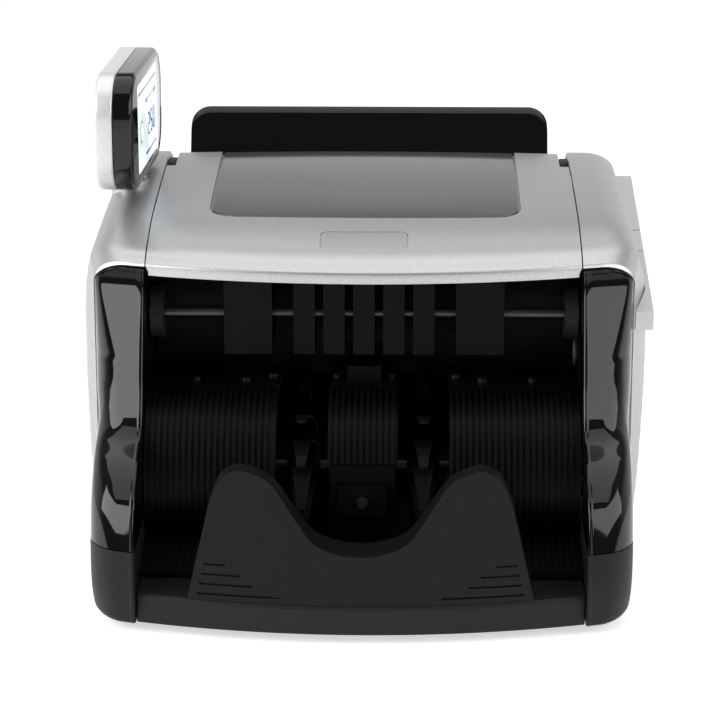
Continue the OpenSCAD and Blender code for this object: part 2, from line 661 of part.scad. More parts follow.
module drive_motor() color("#8f9193") difference() {
    union() {
        rod(motor_at, motor_r, frame_x - motor_l, frame_x);
        rod(motor_at, 6.5, frame_x - 1, frame_out);
    }
    rod(motor_at, 2.5 + run, frame_x - 20, frame_out + 1);
}
module motor_pulley() color("#8d8f92") {
    rod(motor_at, motor_pulley_r, drive_x, drive_x + belt_w);
    rod(motor_at, 2.5, frame_x - 18, drive_x + 1);
}
module drive_belt() color("#151515") belt(motor_at, motor_pulley_r, feed_at, feed_pulley_r, drive_x);
module stacker_belt() color("#151515") belt(feed_at, small_pulley_r, stacker_at, stacker_pulley_r, idle_x);
module exit_belt() color("#151515") mirror([1, 0, 0]) belt(feed_at, small_pulley_r, exit_at, small_pulley_r, idle_x);
module pickup_belt() color("#151515")
    mirror([1, 0, 0]) belt(feed_at, small_pulley_r, pickup_at, small_pulley_r, drive_x);

// Sloping hopper deck with slots for the pick-up rollers
module hopper_deck() color("#1b1b1e") {
    difference() {
        along_x(-frame_x + seat, frame_x - seat) polygon([hopper_front, hopper_back,
            hopper_back - [0, hopper_t], hopper_front - [0, hopper_t]]);
        both_sides() translate([pickup_x[0] - 2, pickup_at[0] - pickup_r - 3, 0])
            cube([pickup_x[1] - pickup_x[0] + 4, 2 * pickup_r + 6, 2 * cover_z]);
    }
}
// Side guide that slides across the hopper deck
module hopper_guide() {
    run_y = hopper_back[0] - hopper_front[0];
    tan_s = (hopper_back[1] - hopper_front[1]) / run_y;
    y0 = hopper_front[0] + 2;
    y1 = hopper_back[0] - 4;
    z0 = hopper_front[1] + 2 * tan_s + seat;
    top = pin_at[1] - hinge_r - 7;
    along_x(tw - 13, tw - 13 + hopper_guide_t) polygon([[y0, z0], [y1, z0 + (y1 - y0) * tan_s], [y1, top],
        [y0 + 14, top], [y0, top - 10]]);
}
module left_hopper_guide() color("#232326") mirror([1, 0, 0]) hopper_guide();
module right_hopper_guide() color("#232326") hopper_guide();

// Knuckles at the rear corners of the hopper, with the pins of the backrest
module backrest_knuckles() color("#111113") both_sides() {
    translate([rest_w / 2 + seam, knuckle_y, panel_top]) cube([5, rear_y - knuckle_y, rest_at[1] - panel_top + 4]);
    rod(rest_at, rest_pin_r, rest_w / 2 - rest_pin_l, rest_w / 2 + 2);
}
// Gloss backrest that the notes lean on, on a pivot barrel
module hopper_backrest() color("#0e0e10") {
    corner = 10;
    half = rest_w / 2;
    difference() {
        union() {
            translate([0, rest_at[0], rest_at[1]]) rotate([-rest_lean, 0, 0]) along_y(-rest_t / 2, rest_t / 2) {
                translate([-half, 0]) square([rest_w, rest_l - corner]);
                translate([-half + corner, 0]) square([rest_w - 2 * corner, rest_l]);
                for (x = [-half + corner, half - corner]) translate([x, rest_l - corner]) circle(r = corner);
            }
            rod(rest_at, rest_barrel_r, -half, half);
        }
        for (s = [-1, 1]) rod(rest_at, rest_pin_r + run, s * half - rest_pin_l - 1, s * half + rest_pin_l + 1);
    }
}

// Socket in the left shoulder that the display's post turns in
module display_socket() color("#b9bbbe") translate([post_at[0], post_at[1], 0]) difference() {
    translate([0, 0, socket_top - 22]) cylinder(r = post_r + socket_wall, h = 22);
    translate([0, 0, socket_top - 18]) cylinder(r = post_r + run, h = 20);
}
// Rounded display outline drawn in by g, seen from its face
module display_outline(g) {
    r = display_corner - g;
    l = display_l / 2 - g - r;
    h = display_h / 2 - g - r;
    translate([-l - r, -h]) square([2 * (l + r), 2 * h]);
    translate([-l, -h - r]) square([2 * l, 2 * (h + r)]);
    for (x = [-l, l], y = [-h, h]) translate([x, y]) circle(r = r);
}
// Places a display piece: its outline in the YZ plane, drawn out from x0 to x1 of the display's own depth
module display_slab(x0, x1)
    translate([post_at[0], post_at[1], display_z + display_h / 2]) rotate([0, 0, -display_yaw]) along_x(x0, x1)
        children();
display_mid = (display_back_t - display_front_t) / 2;
module display_back() color("#cfd1d3") {
    difference() {
        display_slab(display_mid - display_back_t, display_mid) display_outline(0);
        display_slab(display_mid - display_back_t + 2, display_mid + 1) display_outline(2);
    }
    translate([post_at[0], post_at[1], socket_top - 17]) cylinder(r = post_r, h = display_z - socket_top + 17.5);
    translate([post_at[0], post_at[1], socket_top + seat]) cylinder(r = post_r + 2, h = display_z - socket_top - seat);
}
module display_front() color("#0c0c0e") difference() {
    display_slab(display_mid, display_mid + display_front_t) display_outline(0);
    display_slab(display_mid - 1, display_mid + display_front_t - 2.5) display_outline(2);
    display_slab(display_mid, display_mid + display_front_t + 1) display_outline(7);
    translate([post_at[0], post_at[1], display_z - 5]) cylinder(r = post_r + 0.3, h = 6);
}
module display_screen() color("#dfe6ea")
    display_slab(display_mid + display_front_t - 4.2, display_mid + display_front_t - 2.5) display_outline(2.5);

// Circuit board on four posts
module main_board() color("#2d5a3a") {
    translate([-tw + 8, 6, pcb_z]) cube([84, 102, pcb_t]);
    for (x = [-tw + 13, -tw + 87], y = [12, 102])
        translate([x, y, body_z + pan_t]) cylinder(r = 3, h = pcb_z - body_z - pan_t);
}
// Mains inlet: a flanged box with three flat pins in its socket
module power_inlet() color("#161618") translate([inlet_at[0], rear_y, inlet_at[1]]) {
    difference() {
        union() {
            translate([-13.8, -22, -10.2]) cube([27.6, 22, 20.4]);
            translate([-16, 0, -12.5]) cube([32, 2, 25]);
        }
        translate([-12, -16, -8.2]) cube([24, 20, 16.4]);
    }
    for (p = [[0, 3], [-7, -3], [7, -3]]) translate([p[0] - 1, -17, p[1] - 2.5]) cube([2, 10, 5]);
}
// Case of the mains switch, behind its cut-out in the rear panel, with bores for the rocker's pivot
module switch_body() color("#161618") translate([switch_at[0], rear_y - panel_t, switch_at[1]]) difference() {
    translate([-12, -14, -switch_h / 2 - 1.5]) cube([24, 14, switch_h + 3]);
    translate([-10.5, -8.5, -switch_h / 2]) cube([21, 9, switch_h]);
    translate([0, panel_t - rocker_in, -switch_h / 2 - 1.2]) cylinder(r = 1.2 + run, h = switch_h + 2.4);
}
// Rocker of the mains switch, pressed in on one side, with its pivot pins
module power_rocker() color("#101012") translate([switch_at[0], rear_y - rocker_in, switch_at[1]]) {
    rotate([0, 0, -rocker_tilt]) translate([0, 0, -switch_h / 2 + 0.4]) linear_extrude(switch_h - 0.8)
        polygon([[-9, 6.5], [0, 5], [9, 6.5], [7, -4], [-7, -4]]);
    translate([0, 0, -switch_h / 2 - 1]) cylinder(r = 1.2, h = switch_h + 2);
}

base_pan();
rubber_feet();
base_front();
left_skirt();
right_skirt();
left_cheek();
right_cheek();
left_side_cover();
right_side_cover();
side_rail();
rear_panel();
left_frame();
right_frame();
tie_rods();
top_cover();
cover_inset();
hinge_pins();
bill_stop();
stacker_floor();
left_guide();
centre_guide();
right_guide();
centre_bracket();
sensor_deck();
small_screws();
sensor_block();
guide_comb();
stacker_shaft();
left_stacker_wheel();
right_stacker_wheel();
stacker_pulley();
exit_shaft();
exit_rollers();
exit_pulley();
feed_shaft();
feed_rollers();
feed_pulleys();
pickup_shaft();
pickup_rollers();
pickup_pulley();
shaft_bearings();
drive_motor();
motor_pulley();
drive_belt();
stacker_belt();
exit_belt();
pickup_belt();
hopper_deck();
left_hopper_guide();
right_hopper_guide();
backrest_knuckles();
hopper_backrest();
display_socket();
display_back();
display_front();
display_screen();
main_board();
power_inlet();
switch_body();
power_rocker();
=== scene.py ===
"""Looks of the banknote counting machine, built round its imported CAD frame.

Metres, +Z up, -Y is the operator's side.
"""

import math

import bmesh
import bpy
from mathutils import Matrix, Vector


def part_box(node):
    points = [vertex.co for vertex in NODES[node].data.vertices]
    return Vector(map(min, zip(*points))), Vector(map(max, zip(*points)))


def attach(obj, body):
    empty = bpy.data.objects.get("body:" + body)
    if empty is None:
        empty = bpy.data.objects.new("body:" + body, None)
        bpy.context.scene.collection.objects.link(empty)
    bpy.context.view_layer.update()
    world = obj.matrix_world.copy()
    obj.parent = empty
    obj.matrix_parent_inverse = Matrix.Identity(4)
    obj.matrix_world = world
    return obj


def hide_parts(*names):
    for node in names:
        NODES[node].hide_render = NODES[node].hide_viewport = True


MM = 0.001
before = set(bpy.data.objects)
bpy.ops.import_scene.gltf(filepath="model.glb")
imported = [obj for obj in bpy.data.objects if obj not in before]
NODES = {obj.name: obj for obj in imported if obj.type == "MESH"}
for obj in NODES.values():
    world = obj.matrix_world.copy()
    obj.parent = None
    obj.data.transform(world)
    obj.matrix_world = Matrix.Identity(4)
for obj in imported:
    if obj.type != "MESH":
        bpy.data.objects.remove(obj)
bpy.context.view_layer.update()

# Driving places, read from the frame (metres, row frame)
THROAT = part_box("right_cheek")[0].x
CHEEK_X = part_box("right_cheek")[1].x
SIDE_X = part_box("right_side_cover")[1].x
REAR_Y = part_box("right_side_cover")[1].y
BASE_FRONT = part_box("base_front")[0].y
COVER_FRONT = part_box("top_cover")[0].y
COVER_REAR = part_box("top_cover")[1].y
BODY_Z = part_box("base_pan")[0].z
BAND_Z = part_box("base_front")[1].z
LIP_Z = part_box("right_cheek")[1].z - 1 * MM
COVER_Z = LIP_Z + 27 * MM
SKIRT_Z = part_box("right_skirt")[1].z
STOP_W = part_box("bill_stop")[1].x * 2
STOP_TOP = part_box("bill_stop")[1].z
FRONT_R = 364 * MM
BASE_AXIS = BASE_FRONT + FRONT_R
LIP_AXIS = COVER_FRONT + FRONT_R
SEAM = 0.5 * MM
SEAM_Y = -41 * MM
# Room between the throat's edge and the pieces that line it
EDGE_GAP = 0.1 * MM
SIDES = ((-1, "left"), (1, "right"))


# ---------------------------------------------------------------- small maths
def spline(points, per_span):
    """Catmull-Rom curve through points, tuples of any length."""
    out = []
    last = len(points) - 1
    for i in range(last):
        a, b, c, d = (points[max(i - 1, 0)], points[i], points[i + 1], points[min(i + 2, last)])
        for k in range(per_span):
            t = k / per_span
            out.append(tuple(
                0.5 * (2 * q + (r - p) * t + (2 * p - 5 * q + 4 * r - s) * t * t
                       + (3 * q - p - 3 * r + s) * t ** 3)
                for p, q, r, s in zip(a, b, c, d)))
    out.append(tuple(points[-1]))
    return out


def lookup(curve, value, key=0, want=1):
    """Linear value of a rising curve, a list of points, at value."""
    if value <= curve[0][key]:
        return curve[0][want]
    for p, q in zip(curve, curve[1:]):
        if value <= q[key]:
            share = (value - p[key]) / max(q[key] - p[key], 1e-9)
            return p[want] + (q[want] - p[want]) * share
    return curve[-1][want]


def arc_y(axis_y, radius, x):
    """Y of the operator's side of a circle about (0, axis_y)."""
    return axis_y - math.sqrt(radius * radius - x * x)


def steps(a, b, n):
    """Values from a to b in n equal steps."""
    return [a + (b - a) * i / n for i in range(n + 1)]


def quarter(n):
    """Angles of a quarter turn in n steps."""
    return [math.pi / 2 * k / n for k in range(n + 1)]


def circle(x, y, radius, count):
    """Points of a circle about (x, y)."""
    turns = [2 * math.pi * k / count for k in range(count)]
    return [(x + radius * math.cos(a), y + radius * math.sin(a)) for a in turns]


# ---------------------------------------------------------------- mesh makers
def loose_mesh(name, verts, faces, clean=False):
    """A mesh object with doubled points merged and its normals made consistent."""
    mesh = bpy.data.meshes.new(name)
    mesh.from_pydata([tuple(v) for v in verts], [], faces)
    bm = bmesh.new()
    bm.from_mesh(mesh)
    bmesh.ops.remove_doubles(bm, verts=bm.verts, dist=1e-6)
    if clean:
        bmesh.ops.dissolve_degenerate(bm, edges=bm.edges, dist=1e-6)
    bmesh.ops.recalc_face_normals(bm, faces=bm.faces)
    bm.to_mesh(mesh)
    bm.free()
    obj = bpy.data.objects.new(name, mesh)
    bpy.context.scene.collection.objects.link(obj)
    return obj


def make(name, verts, faces, body, slot, material, bevel=0.0, smooth_angle=35, segments=3, replaces=()):
    """A finished piece that rides on body."""
    obj = loose_mesh(name, verts, faces, clean=True)
    finish_piece(obj, body, material, bevel, smooth_angle, segments, replaces)


def finish_piece(obj, body, material, bevel=0.0, smooth_angle=35, segments=3, replaces=()):
    """Gives a mesh its look, its body, and the CAD nodes that it stands for."""
    obj.data.materials.clear()
    obj.data.materials.append(material)
    smooth(obj, bevel, smooth_angle, segments)
    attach(obj, body)
    if replaces:
        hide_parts(*replaces)


def smooth(obj, bevel, smooth_angle=35, segments=3):
    """Smooth shading with sharp edges kept, and a small round on every hard edge."""
    for face in obj.data.polygons:
        face.use_smooth = True
    if bevel > 0:
        mod = obj.modifiers.new("edge_round", "BEVEL")
        mod.width = bevel
        mod.segments = segments
        mod.limit_method = "ANGLE"
        mod.angle_limit = math.radians(smooth_angle)
        mod.harden_normals = True
    else:
        obj.data.set_sharp_from_angle(angle=math.radians(smooth_angle))


def grid_faces(rows, cols, base=0, flip=False, closed=False):
    """Quads of a grid of rows x cols points that start at index base."""
    faces = []
    for r in range(rows - 1):
        for c in range(cols - (0 if closed else 1)):
            d = (c + 1) % cols
            here, above = base + r * cols, base + (r + 1) * cols
            quad = [here + c, here + d, above + d, above + c]
            faces.append(quad[::-1] if flip else quad)
    return faces


def slab(top, bottom, rows, cols):
    """Verts and faces of a closed solid between two grids with the same layout."""
    n = rows * cols
    verts = list(top) + list(bottom)
    faces = grid_faces(rows, cols) + grid_faces(rows, cols, n, flip=True)
    rim = ([c for c in range(cols)] + [r * cols + cols - 1 for r in range(1, rows)]
           + [(rows - 1) * cols + c for c in range(cols - 2, -1, -1)]
           + [r * cols for r in range(rows - 2, 0, -1)])
    for a, b in zip(rim, rim[1:] + rim[:1]):
        faces.append([a, n + a, n + b, b])
    return verts, faces


def rings_solid(rings):
    """Closed solid lofted through rings of the same length, with flat caps at both ends."""
    count = len(rings[0])
    verts = [p for ring in rings for p in ring]
    faces = grid_faces(len(rings), count, closed=True)
    faces.append(list(range(count))[::-1])
    faces.append([(len(rings) - 1) * count + i for i in range(count)])
    return verts, faces


def upright(ring, z0, z1):
    """Closed prism over a ring of (x, y), from z0 to z1."""
    return rings_solid([[(x, y, z) for x, y in ring] for z in (z0, z1)])


def crosswise(ring, x0, x1):
    """Closed prism over a ring of (y, z), from x0 to x1."""
    return rings_solid([[(x, y, z) for y, z in ring] for x in (x0, x1)])


def joined(solids):
    """Verts and faces of several solids as one mesh."""
    verts, faces = [], []
    for some_verts, some_faces in solids:
        base = len(verts)
        verts += some_verts
        faces += [[base + k for k in face] for face in some_faces]
    return verts, faces


def cut(obj, cutters):
    """Takes the cutters away from obj and applies the result."""
    for cutter in cutters:
        mod = obj.modifiers.new("cut", "BOOLEAN")
        mod.operation = "DIFFERENCE"
        mod.solver = "EXACT"
        mod.object = cutter
    booleans = [m for m in obj.modifiers if m.type == "BOOLEAN"]
    others = [m for m in obj.modifiers if m.type != "BOOLEAN"]
    for m in others:
        m.show_viewport = False
    bpy.context.view_layer.update()
    deps = bpy.context.evaluated_depsgraph_get()
    mesh = bpy.data.meshes.new_from_object(obj.evaluated_get(deps))
    for m in booleans:
        obj.modifiers.remove(m)
    for m in others:
        m.show_viewport = True
    obj.data = mesh
    for cutter in cutters:
        bpy.data.objects.remove(cutter)


# ---------------------------------------------------------------- materials
def new_material(name):
    """A new material with its nodes, its links and its Principled shader."""
    material = bpy.data.materials.new(name)
    material.use_nodes = True
    nodes = material.node_tree.nodes
    return material, nodes, material.node_tree.links, nodes["Principled BSDF"]


def noise(nodes, links, scale, detail, roughness=0.5, stretch=None):
    """Noise texture fixed to the object, scaled by stretch along the axes where it is given."""
    source = nodes.new("ShaderNodeTexCoord").outputs["Object"]
    if stretch:
        mapping = nodes.new("ShaderNodeMapping")
        mapping.inputs["Scale"].default_value = stretch
        links.new(source, mapping.inputs["Vector"])
        source = mapping.outputs["Vector"]
    texture = nodes.new("ShaderNodeTexNoise")
    texture.inputs["Scale"].default_value = scale
    texture.inputs["Detail"].default_value = detail
    texture.inputs["Roughness"].default_value = roughness
    links.new(source, texture.inputs["Vector"])
    return texture


def ramp(nodes, links, source, low, high, start=0.35, end=0.65):
    """Colour ramp from low to high over the middle of a noise."""
    node = nodes.new("ShaderNodeValToRGB")
    node.color_ramp.elements[0].position = start
    node.color_ramp.elements[1].position = end
    node.color_ramp.elements[0].color = (*low, 1)
    node.color_ramp.elements[1].color = (*high, 1)
    links.new(source, node.inputs["Fac"])
    return node.outputs["Color"]


def spread(nodes, links, source, low, high, start=0.0, end=1.0):
    """Maps a value's range start to end to the range low to high."""
    node = nodes.new("ShaderNodeMapRange")
    node.inputs["From Min"].default_value = start
    node.inputs["From Max"].default_value = end
    node.inputs["To Min"].default_value = low
    node.inputs["To Max"].default_value = high
    links.new(source, node.inputs["Value"])
    return node.outputs["Result"]


def combine(nodes, links, operation, first, second):
    """MAXIMUM or MINIMUM of two values."""
    node = nodes.new("ShaderNodeMath")
    node.operation = operation
    links.new(first, node.inputs[0])
    links.new(second, node.inputs[1])
    return node.outputs["Value"]


def seen_rays(nodes, links):
    """1 for camera, glossy and transmission rays, 0 for the rest."""
    paths = nodes.new("ShaderNodeLightPath")
    glossy, transmission = paths.outputs["Is Glossy Ray"], paths.outputs["Is Transmission Ray"]
    either = combine(nodes, links, "MAXIMUM", glossy, transmission)
    return combine(nodes, links, "MAXIMUM", either, paths.outputs["Is Camera Ray"])


def bump(nodes, links, shader, source, strength, distance):
    """Fine relief from a height value, distance deep in metres."""
    node = nodes.new("ShaderNodeBump")
    node.inputs["Strength"].default_value = strength
    node.inputs["Distance"].default_value = distance
    links.new(source, node.inputs["Height"])
    links.new(node.outputs["Normal"], shader.inputs["Normal"])


def lacquer(name, low, high, metallic, rough_low, rough_high, coat=0.0, flake=0.0, flake_scale=2600):
    """Silver lacquer: fine metal flake in its tone, a slow drift in roughness, and an optional clear coat."""
    material, nodes, links, shader = new_material(name)
    drift = noise(nodes, links, 14, 2)
    flakes = noise(nodes, links, flake_scale, 1)
    tone = ramp(nodes, links, flakes.outputs["Fac"], low, high, 0.38, 0.62)
    links.new(tone, shader.inputs["Base Color"])
    shader.inputs["Metallic"].default_value = metallic
    links.new(spread(nodes, links, drift.outputs["Fac"], rough_low, rough_high), shader.inputs["Roughness"])
    shader.inputs["Coat Weight"].default_value = coat
    shader.inputs["Coat Roughness"].default_value = 0.06
    shader.inputs["Specular Tint"].default_value = (0.62, 0.62, 0.62, 1)
    if flake:
        bump(nodes, links, shader, flakes.outputs["Fac"], flake, 0.00002)
    return material


def moulded(name, low, high, rough_low, rough_high, grain=0.0, grain_scale=900, coat=0.0, specular=0.5):
    """Moulded black plastic: spark-eroded grain in the bump and a slow drift in roughness."""
    material, nodes, links, shader = new_material(name)
    drift = noise(nodes, links, 18, 3)
    fine = noise(nodes, links, grain_scale, 2, 0.6)
    links.new(ramp(nodes, links, fine.outputs["Fac"], low, high), shader.inputs["Base Color"])
    links.new(spread(nodes, links, drift.outputs["Fac"], rough_low, rough_high), shader.inputs["Roughness"])
    shader.inputs["Specular IOR Level"].default_value = specular
    shader.inputs["Coat Weight"].default_value = coat
    shader.inputs["Coat Roughness"].default_value = 0.03
    if grain:
        bump(nodes, links, shader, fine.outputs["Fac"], grain, 0.00006)
    return material


def metal(name, low, high, rough_low, rough_high, stretch, scale=400):
    """Steel or alloy with turning or rolling lines along one axis."""
    material, nodes, links, shader = new_material(name)
    lines = noise(nodes, links, scale, 2, stretch=stretch)
    links.new(ramp(nodes, links, lines.outputs["Fac"], low, high), shader.inputs["Base Color"])
    links.new(spread(nodes, links, lines.outputs["Fac"], rough_low, rough_high), shader.inputs["Roughness"])
    shader.inputs["Metallic"].default_value = 1.0
    bump(nodes, links, shader, lines.outputs["Fac"], 0.15, 0.00003)
    return material


def glow(name, colour, strength):
    """Lit display colour with a faint, fine grain."""
    material, nodes, links, shader = new_material(name)
    grid = noise(nodes, links, 1800, 1)
    tint = ramp(nodes, links, grid.outputs["Fac"], tuple(c * 0.94 for c in colour), colour)
    links.new(tint, shader.inputs["Base Color"])
    links.new(tint, shader.inputs["Emission Color"])
    shader.inputs["Emission Strength"].default_value = strength
    shader.inputs["Roughness"].default_value = 0.12
    return material


SILVER = lacquer("silver_lacquer", (0.46, 0.465, 0.47), (0.58, 0.585, 0.59), 0.75, 0.32, 0.38, coat=0.1,
                 flake=0.25)
PALE_SILVER = lacquer("pale_silver", (0.62, 0.625, 0.63), (0.74, 0.745, 0.75), 0.4, 0.3, 0.36, coat=0.2,
                      flake=0.15)
RAIL_SILVER = lacquer("rail_silver", (0.60, 0.605, 0.61), (0.68, 0.685, 0.69), 0.35, 0.32, 0.4, flake=0.15)
GREY_PLATE = lacquer("grey_plate", (0.12, 0.123, 0.13), (0.145, 0.148, 0.155), 0.7, 0.08, 0.12, coat=0.3)
BADGE = lacquer("badge_plate", (0.40, 0.405, 0.41), (0.50, 0.505, 0.51), 0.7, 0.32, 0.38, flake=0.1)
PIANO = moulded("piano_black", (0.0015, 0.0015, 0.002), (0.0025, 0.0025, 0.003), 0.05, 0.07, coat=0.25,
                specular=0.3)
SATIN = moulded("satin_black", (0.0085, 0.008, 0.010), (0.013, 0.0125, 0.015), 0.44, 0.52, grain=0.3,
                specular=0.22)
TRAY = moulded("tray_black", (0.004, 0.004, 0.005), (0.007, 0.007, 0.008), 0.36, 0.44, grain=0.3,
               specular=0.16)
# Black plastic of the parts inside the machine, drawn darker than the satin black: partly its own black,
# partly painted shade of the cavity
SHADED_INNER = moulded("inner_black", (0.0015, 0.0015, 0.002), (0.003, 0.003, 0.0035), 0.42, 0.52, grain=0.2,
                specular=0.12)
PANEL = moulded("panel_black", (0.014, 0.014, 0.016), (0.024, 0.024, 0.026), 0.5, 0.6, grain=0.4)
RUBBER = moulded("rubber", (0.012, 0.012, 0.012), (0.02, 0.02, 0.02), 0.75, 0.9, grain=0.5, specular=0.3)
ROLLER = moulded("grey_roller", (0.018, 0.018, 0.02), (0.028, 0.028, 0.03), 0.5, 0.65, grain=0.3,
                 specular=0.2)
STEEL = metal("bright_steel", (0.50, 0.51, 0.52), (0.66, 0.67, 0.68), 0.18, 0.3, (1, 30, 30))
SHEET = metal("plate_steel", (0.34, 0.35, 0.36), (0.46, 0.47, 0.48), 0.3, 0.42, (40, 1, 1), 120)
# Steel drawn near black for the frames, the inner shafts and the small screws: the dark is painted shade of
# the cavity around them
SHADED_STEEL = metal("steel_painted_shade", (0.07, 0.07, 0.075), (0.11, 0.11, 0.115), 0.35, 0.45, (1, 30, 30))
ALLOY = metal("turned_alloy", (0.48, 0.49, 0.50), (0.62, 0.63, 0.64), 0.25, 0.36, (1, 40, 40))
BOARD = moulded("solder_mask", (0.012, 0.07, 0.03), (0.02, 0.10, 0.045), 0.3, 0.4)
GLASS_BLACK = moulded("window_black", (0.003, 0.003, 0.004), (0.005, 0.005, 0.006), 0.03, 0.05, coat=0.4)
LCD_WHITE = glow("lcd_white", (0.78, 0.84, 0.88), 0.55)
LCD_BLUE = glow("lcd_blue", (0.03, 0.10, 0.32), 0.4)
LCD_GREEN = glow("lcd_green", (0.20, 0.46, 0.07), 0.5)


# ---------------------------------------------------------------- body form
# The body's skin along the centre line, from under the cover's lip to the rear panel, as (y, z)
LIP_FACE = [
    (COVER_FRONT, LIP_Z + 0.6 * MM), (COVER_FRONT, LIP_Z + 2.6 * MM), (COVER_FRONT, LIP_Z + 4.6 * MM),
    (COVER_FRONT + 0.12 * MM, LIP_Z + 5.2 * MM), (COVER_FRONT + 0.5 * MM, LIP_Z + 5.75 * MM)]
TOP_LINE = spline([
    (COVER_FRONT + 1.1 * MM, LIP_Z + 6.15 * MM), (COVER_FRONT + 5 * MM, LIP_Z + 8.1 * MM),
    (COVER_FRONT + 15 * MM, LIP_Z + 11.9 * MM), (-16 * MM, LIP_Z + 19.4 * MM),
    (44 * MM, COVER_Z - 2.9 * MM), (COVER_REAR, COVER_Z - 0.9 * MM),
    (COVER_REAR + 12 * MM, COVER_Z - 3.9 * MM), (REAR_Y - 5 * MM, COVER_Z - 7.1 * MM),
    (REAR_Y - 1.6 * MM, COVER_Z - 10.2 * MM), (REAR_Y - 0.1 * MM, COVER_Z - 15 * MM)], 8)
# The body's side seen from the front, right side, from the shoulder down to the foot, as (x, z)
SIDE_LINE = spline([
    (SIDE_X - 17 * MM, COVER_Z - 4.8 * MM), (SIDE_X - 12.5 * MM, COVER_Z - 9 * MM),
    (SIDE_X - 10 * MM, COVER_Z - 14 * MM), (SIDE_X - 8 * MM, BODY_Z + 146 * MM),
    (SIDE_X - 5 * MM, BODY_Z + 136 * MM), (SIDE_X - 2 * MM, BODY_Z + 120 * MM),
    (SIDE_X, BODY_Z + 95 * MM), (SIDE_X - 2 * MM, BODY_Z + 60 * MM),
    (SIDE_X - 5 * MM, BODY_Z + 30 * MM), (SIDE_X - 9 * MM, BODY_Z + 6 * MM),
    (SIDE_X - 10.6 * MM, BODY_Z + 0.1 * MM)], 6)
SIDE_RISING = SIDE_LINE[::-1]
# The body seen from above, right side, as (y, x)
PLAN_LINE = spline([
    (-71 * MM, CHEEK_X - 2.5 * MM), (SEAM_Y, CHEEK_X + 0.5 * MM), (-15 * MM, SIDE_X - 3.5 * MM),
    (10 * MM, SIDE_X), (60 * MM, SIDE_X - 0.5 * MM), (REAR_Y - 23 * MM, SIDE_X - 3.5 * MM),
    (REAR_Y - 5 * MM, SIDE_X - 6.6 * MM), (REAR_Y - 1 * MM, SIDE_X - 8.5 * MM),
    (REAR_Y, SIDE_X - 11 * MM)], 5)
# The shoulder's round, an ellipse quarter this wide and this high
SHOULDER_W, SHOULDER_H = 16 * MM, 10 * MM
# The lip's bow straightens out this far before the cover's rear, and the top's crown grows over this depth
BOW_END, CROWN_RUN = 20 * MM, 60 * MM


def bow_share(y):
    """1 where the skin follows the lip's bow, 0 where it runs straight across."""
    t = min(max((y - COVER_FRONT) / (COVER_REAR - BOW_END - COVER_FRONT), 0.0), 1.0)
    return (1 - t) ** 1.5


def bowed_y(x, y_c):
    """Y at x of the line across the body that meets the centre line at y_c."""
    across = min(abs(x), LIP_AXIS - y_c - 0.01)
    return y_c + (arc_y(LIP_AXIS, LIP_AXIS - y_c, across) - y_c) * bow_share(y_c)


def crown(x, y_c):
    """How far the top falls away from its middle at x."""
    return 1.3 * MM * (x / THROAT) ** 2 * min(max((y_c - COVER_FRONT) / CROWN_RUN, 0.0), 1.0)


def top_point(x, y_c, sink=0.0):
    """Point of the body's top at x, sink under its skin."""
    return Vector((x, bowed_y(x, y_c), lookup(TOP_LINE, y_c) - sink - crown(x, y_c)))


def centre_rows(rear):
    """The centre line from the lip to rear, as (y, z)."""
    rows = list(LIP_FACE)
    for y, z in TOP_LINE:
        if y > rear + 1e-7:
            break
        rows.append((y, z))
    if rows[-1][0] < rear - 1e-6:
        rows.append((rear, lookup(TOP_LINE, rear)))
    return rows


def shell(name, outer, rows, cols, thickness, body, material, replaces, cutters=()):
    """Solid shell under a grid of outer points, drawn in along the averaged normals."""
    obj = loose_mesh(name, outer, grid_faces(rows, cols))
    centre = sum((Vector(p) for p in outer), Vector()) / len(outer)
    bm = bmesh.new()
    bm.from_mesh(obj.data)
    bm.normal_update()
    outward = sum(f.normal.dot(f.calc_center_median() - centre) for f in bm.faces)
    if outward < 0:
        bmesh.ops.reverse_faces(bm, faces=bm.faces)
    bm.to_mesh(obj.data)
    bm.free()
    mod = obj.modifiers.new("wall", "SOLIDIFY")
    mod.thickness = thickness
    mod.offset = -1.0
    mod.use_even_offset = True
    mod.use_rim = True
    bpy.context.view_layer.update()
    mesh = bpy.data.meshes.new_from_object(obj.evaluated_get(bpy.context.evaluated_depsgraph_get()))
    obj.modifiers.clear()
    obj.data = mesh
    if cutters:
        cut(obj, cutters)
    finish_piece(obj, body, material, 0.5 * MM, 38, 3, replaces)


def side_section(y_c, top):
    """The side shell's section where the centre line is at (y_c, top): flat top, round shoulder and side."""
    y_side = bowed_y(CHEEK_X, y_c)
    plan = lookup(PLAN_LINE, y_side)
    edge = top - crown(THROAT, y_c)
    turn_z = edge - SHOULDER_H
    turn_x = min(plan, lookup(SIDE_RISING, turn_z, 1, 0))
    flat = turn_x - SHOULDER_W
    points = [(x, edge) for x in steps(THROAT + EDGE_GAP, max(flat, THROAT + 1 * MM), 3)[:-1]]
    for a in quarter(12):
        points.append((turn_x - SHOULDER_W * (1 - math.sin(a)), edge - SHOULDER_H * (1 - math.cos(a))))
    for z in steps(turn_z, BODY_Z + 0.1 * MM, 40)[1:]:
        points.append((min(plan, lookup(SIDE_RISING, z, 1, 0)), z))
    section = []
    for x, z in points:
        y = bowed_y(x, y_c)
        if z < turn_z + 2 * MM:
            y = max(y, SEAM_Y)
        section.append((x, y, z))
    return section


def side_cover(side, name):
    """Silver side shell from the throat's edge over the shoulder down to the foot."""
    rows = [(y, z - 0.6 * MM) for y, z in LIP_FACE[3:]] + centre_rows(REAR_Y)[len(LIP_FACE):]
    sections = [side_section(y, z) for y, z in rows]
    outer = [(side * x, y, z) for section in sections for x, y, z in section]
    cutters = [vent_cutter(side)]
    if side < 0:
        cutters.append(socket_cutter())
    shell(name + "_shell", outer, len(rows), len(sections[0]), 2.6 * MM, "root", SILVER,
          [name], cutters)


VENT_COUNT, VENT_PITCH = 6, 7 * MM
VENT_Y, VENT_Z = 63.5 * MM, BODY_Z + 45 * MM
VENT_R, VENT_REACH = 1.5 * MM, 15.5 * MM


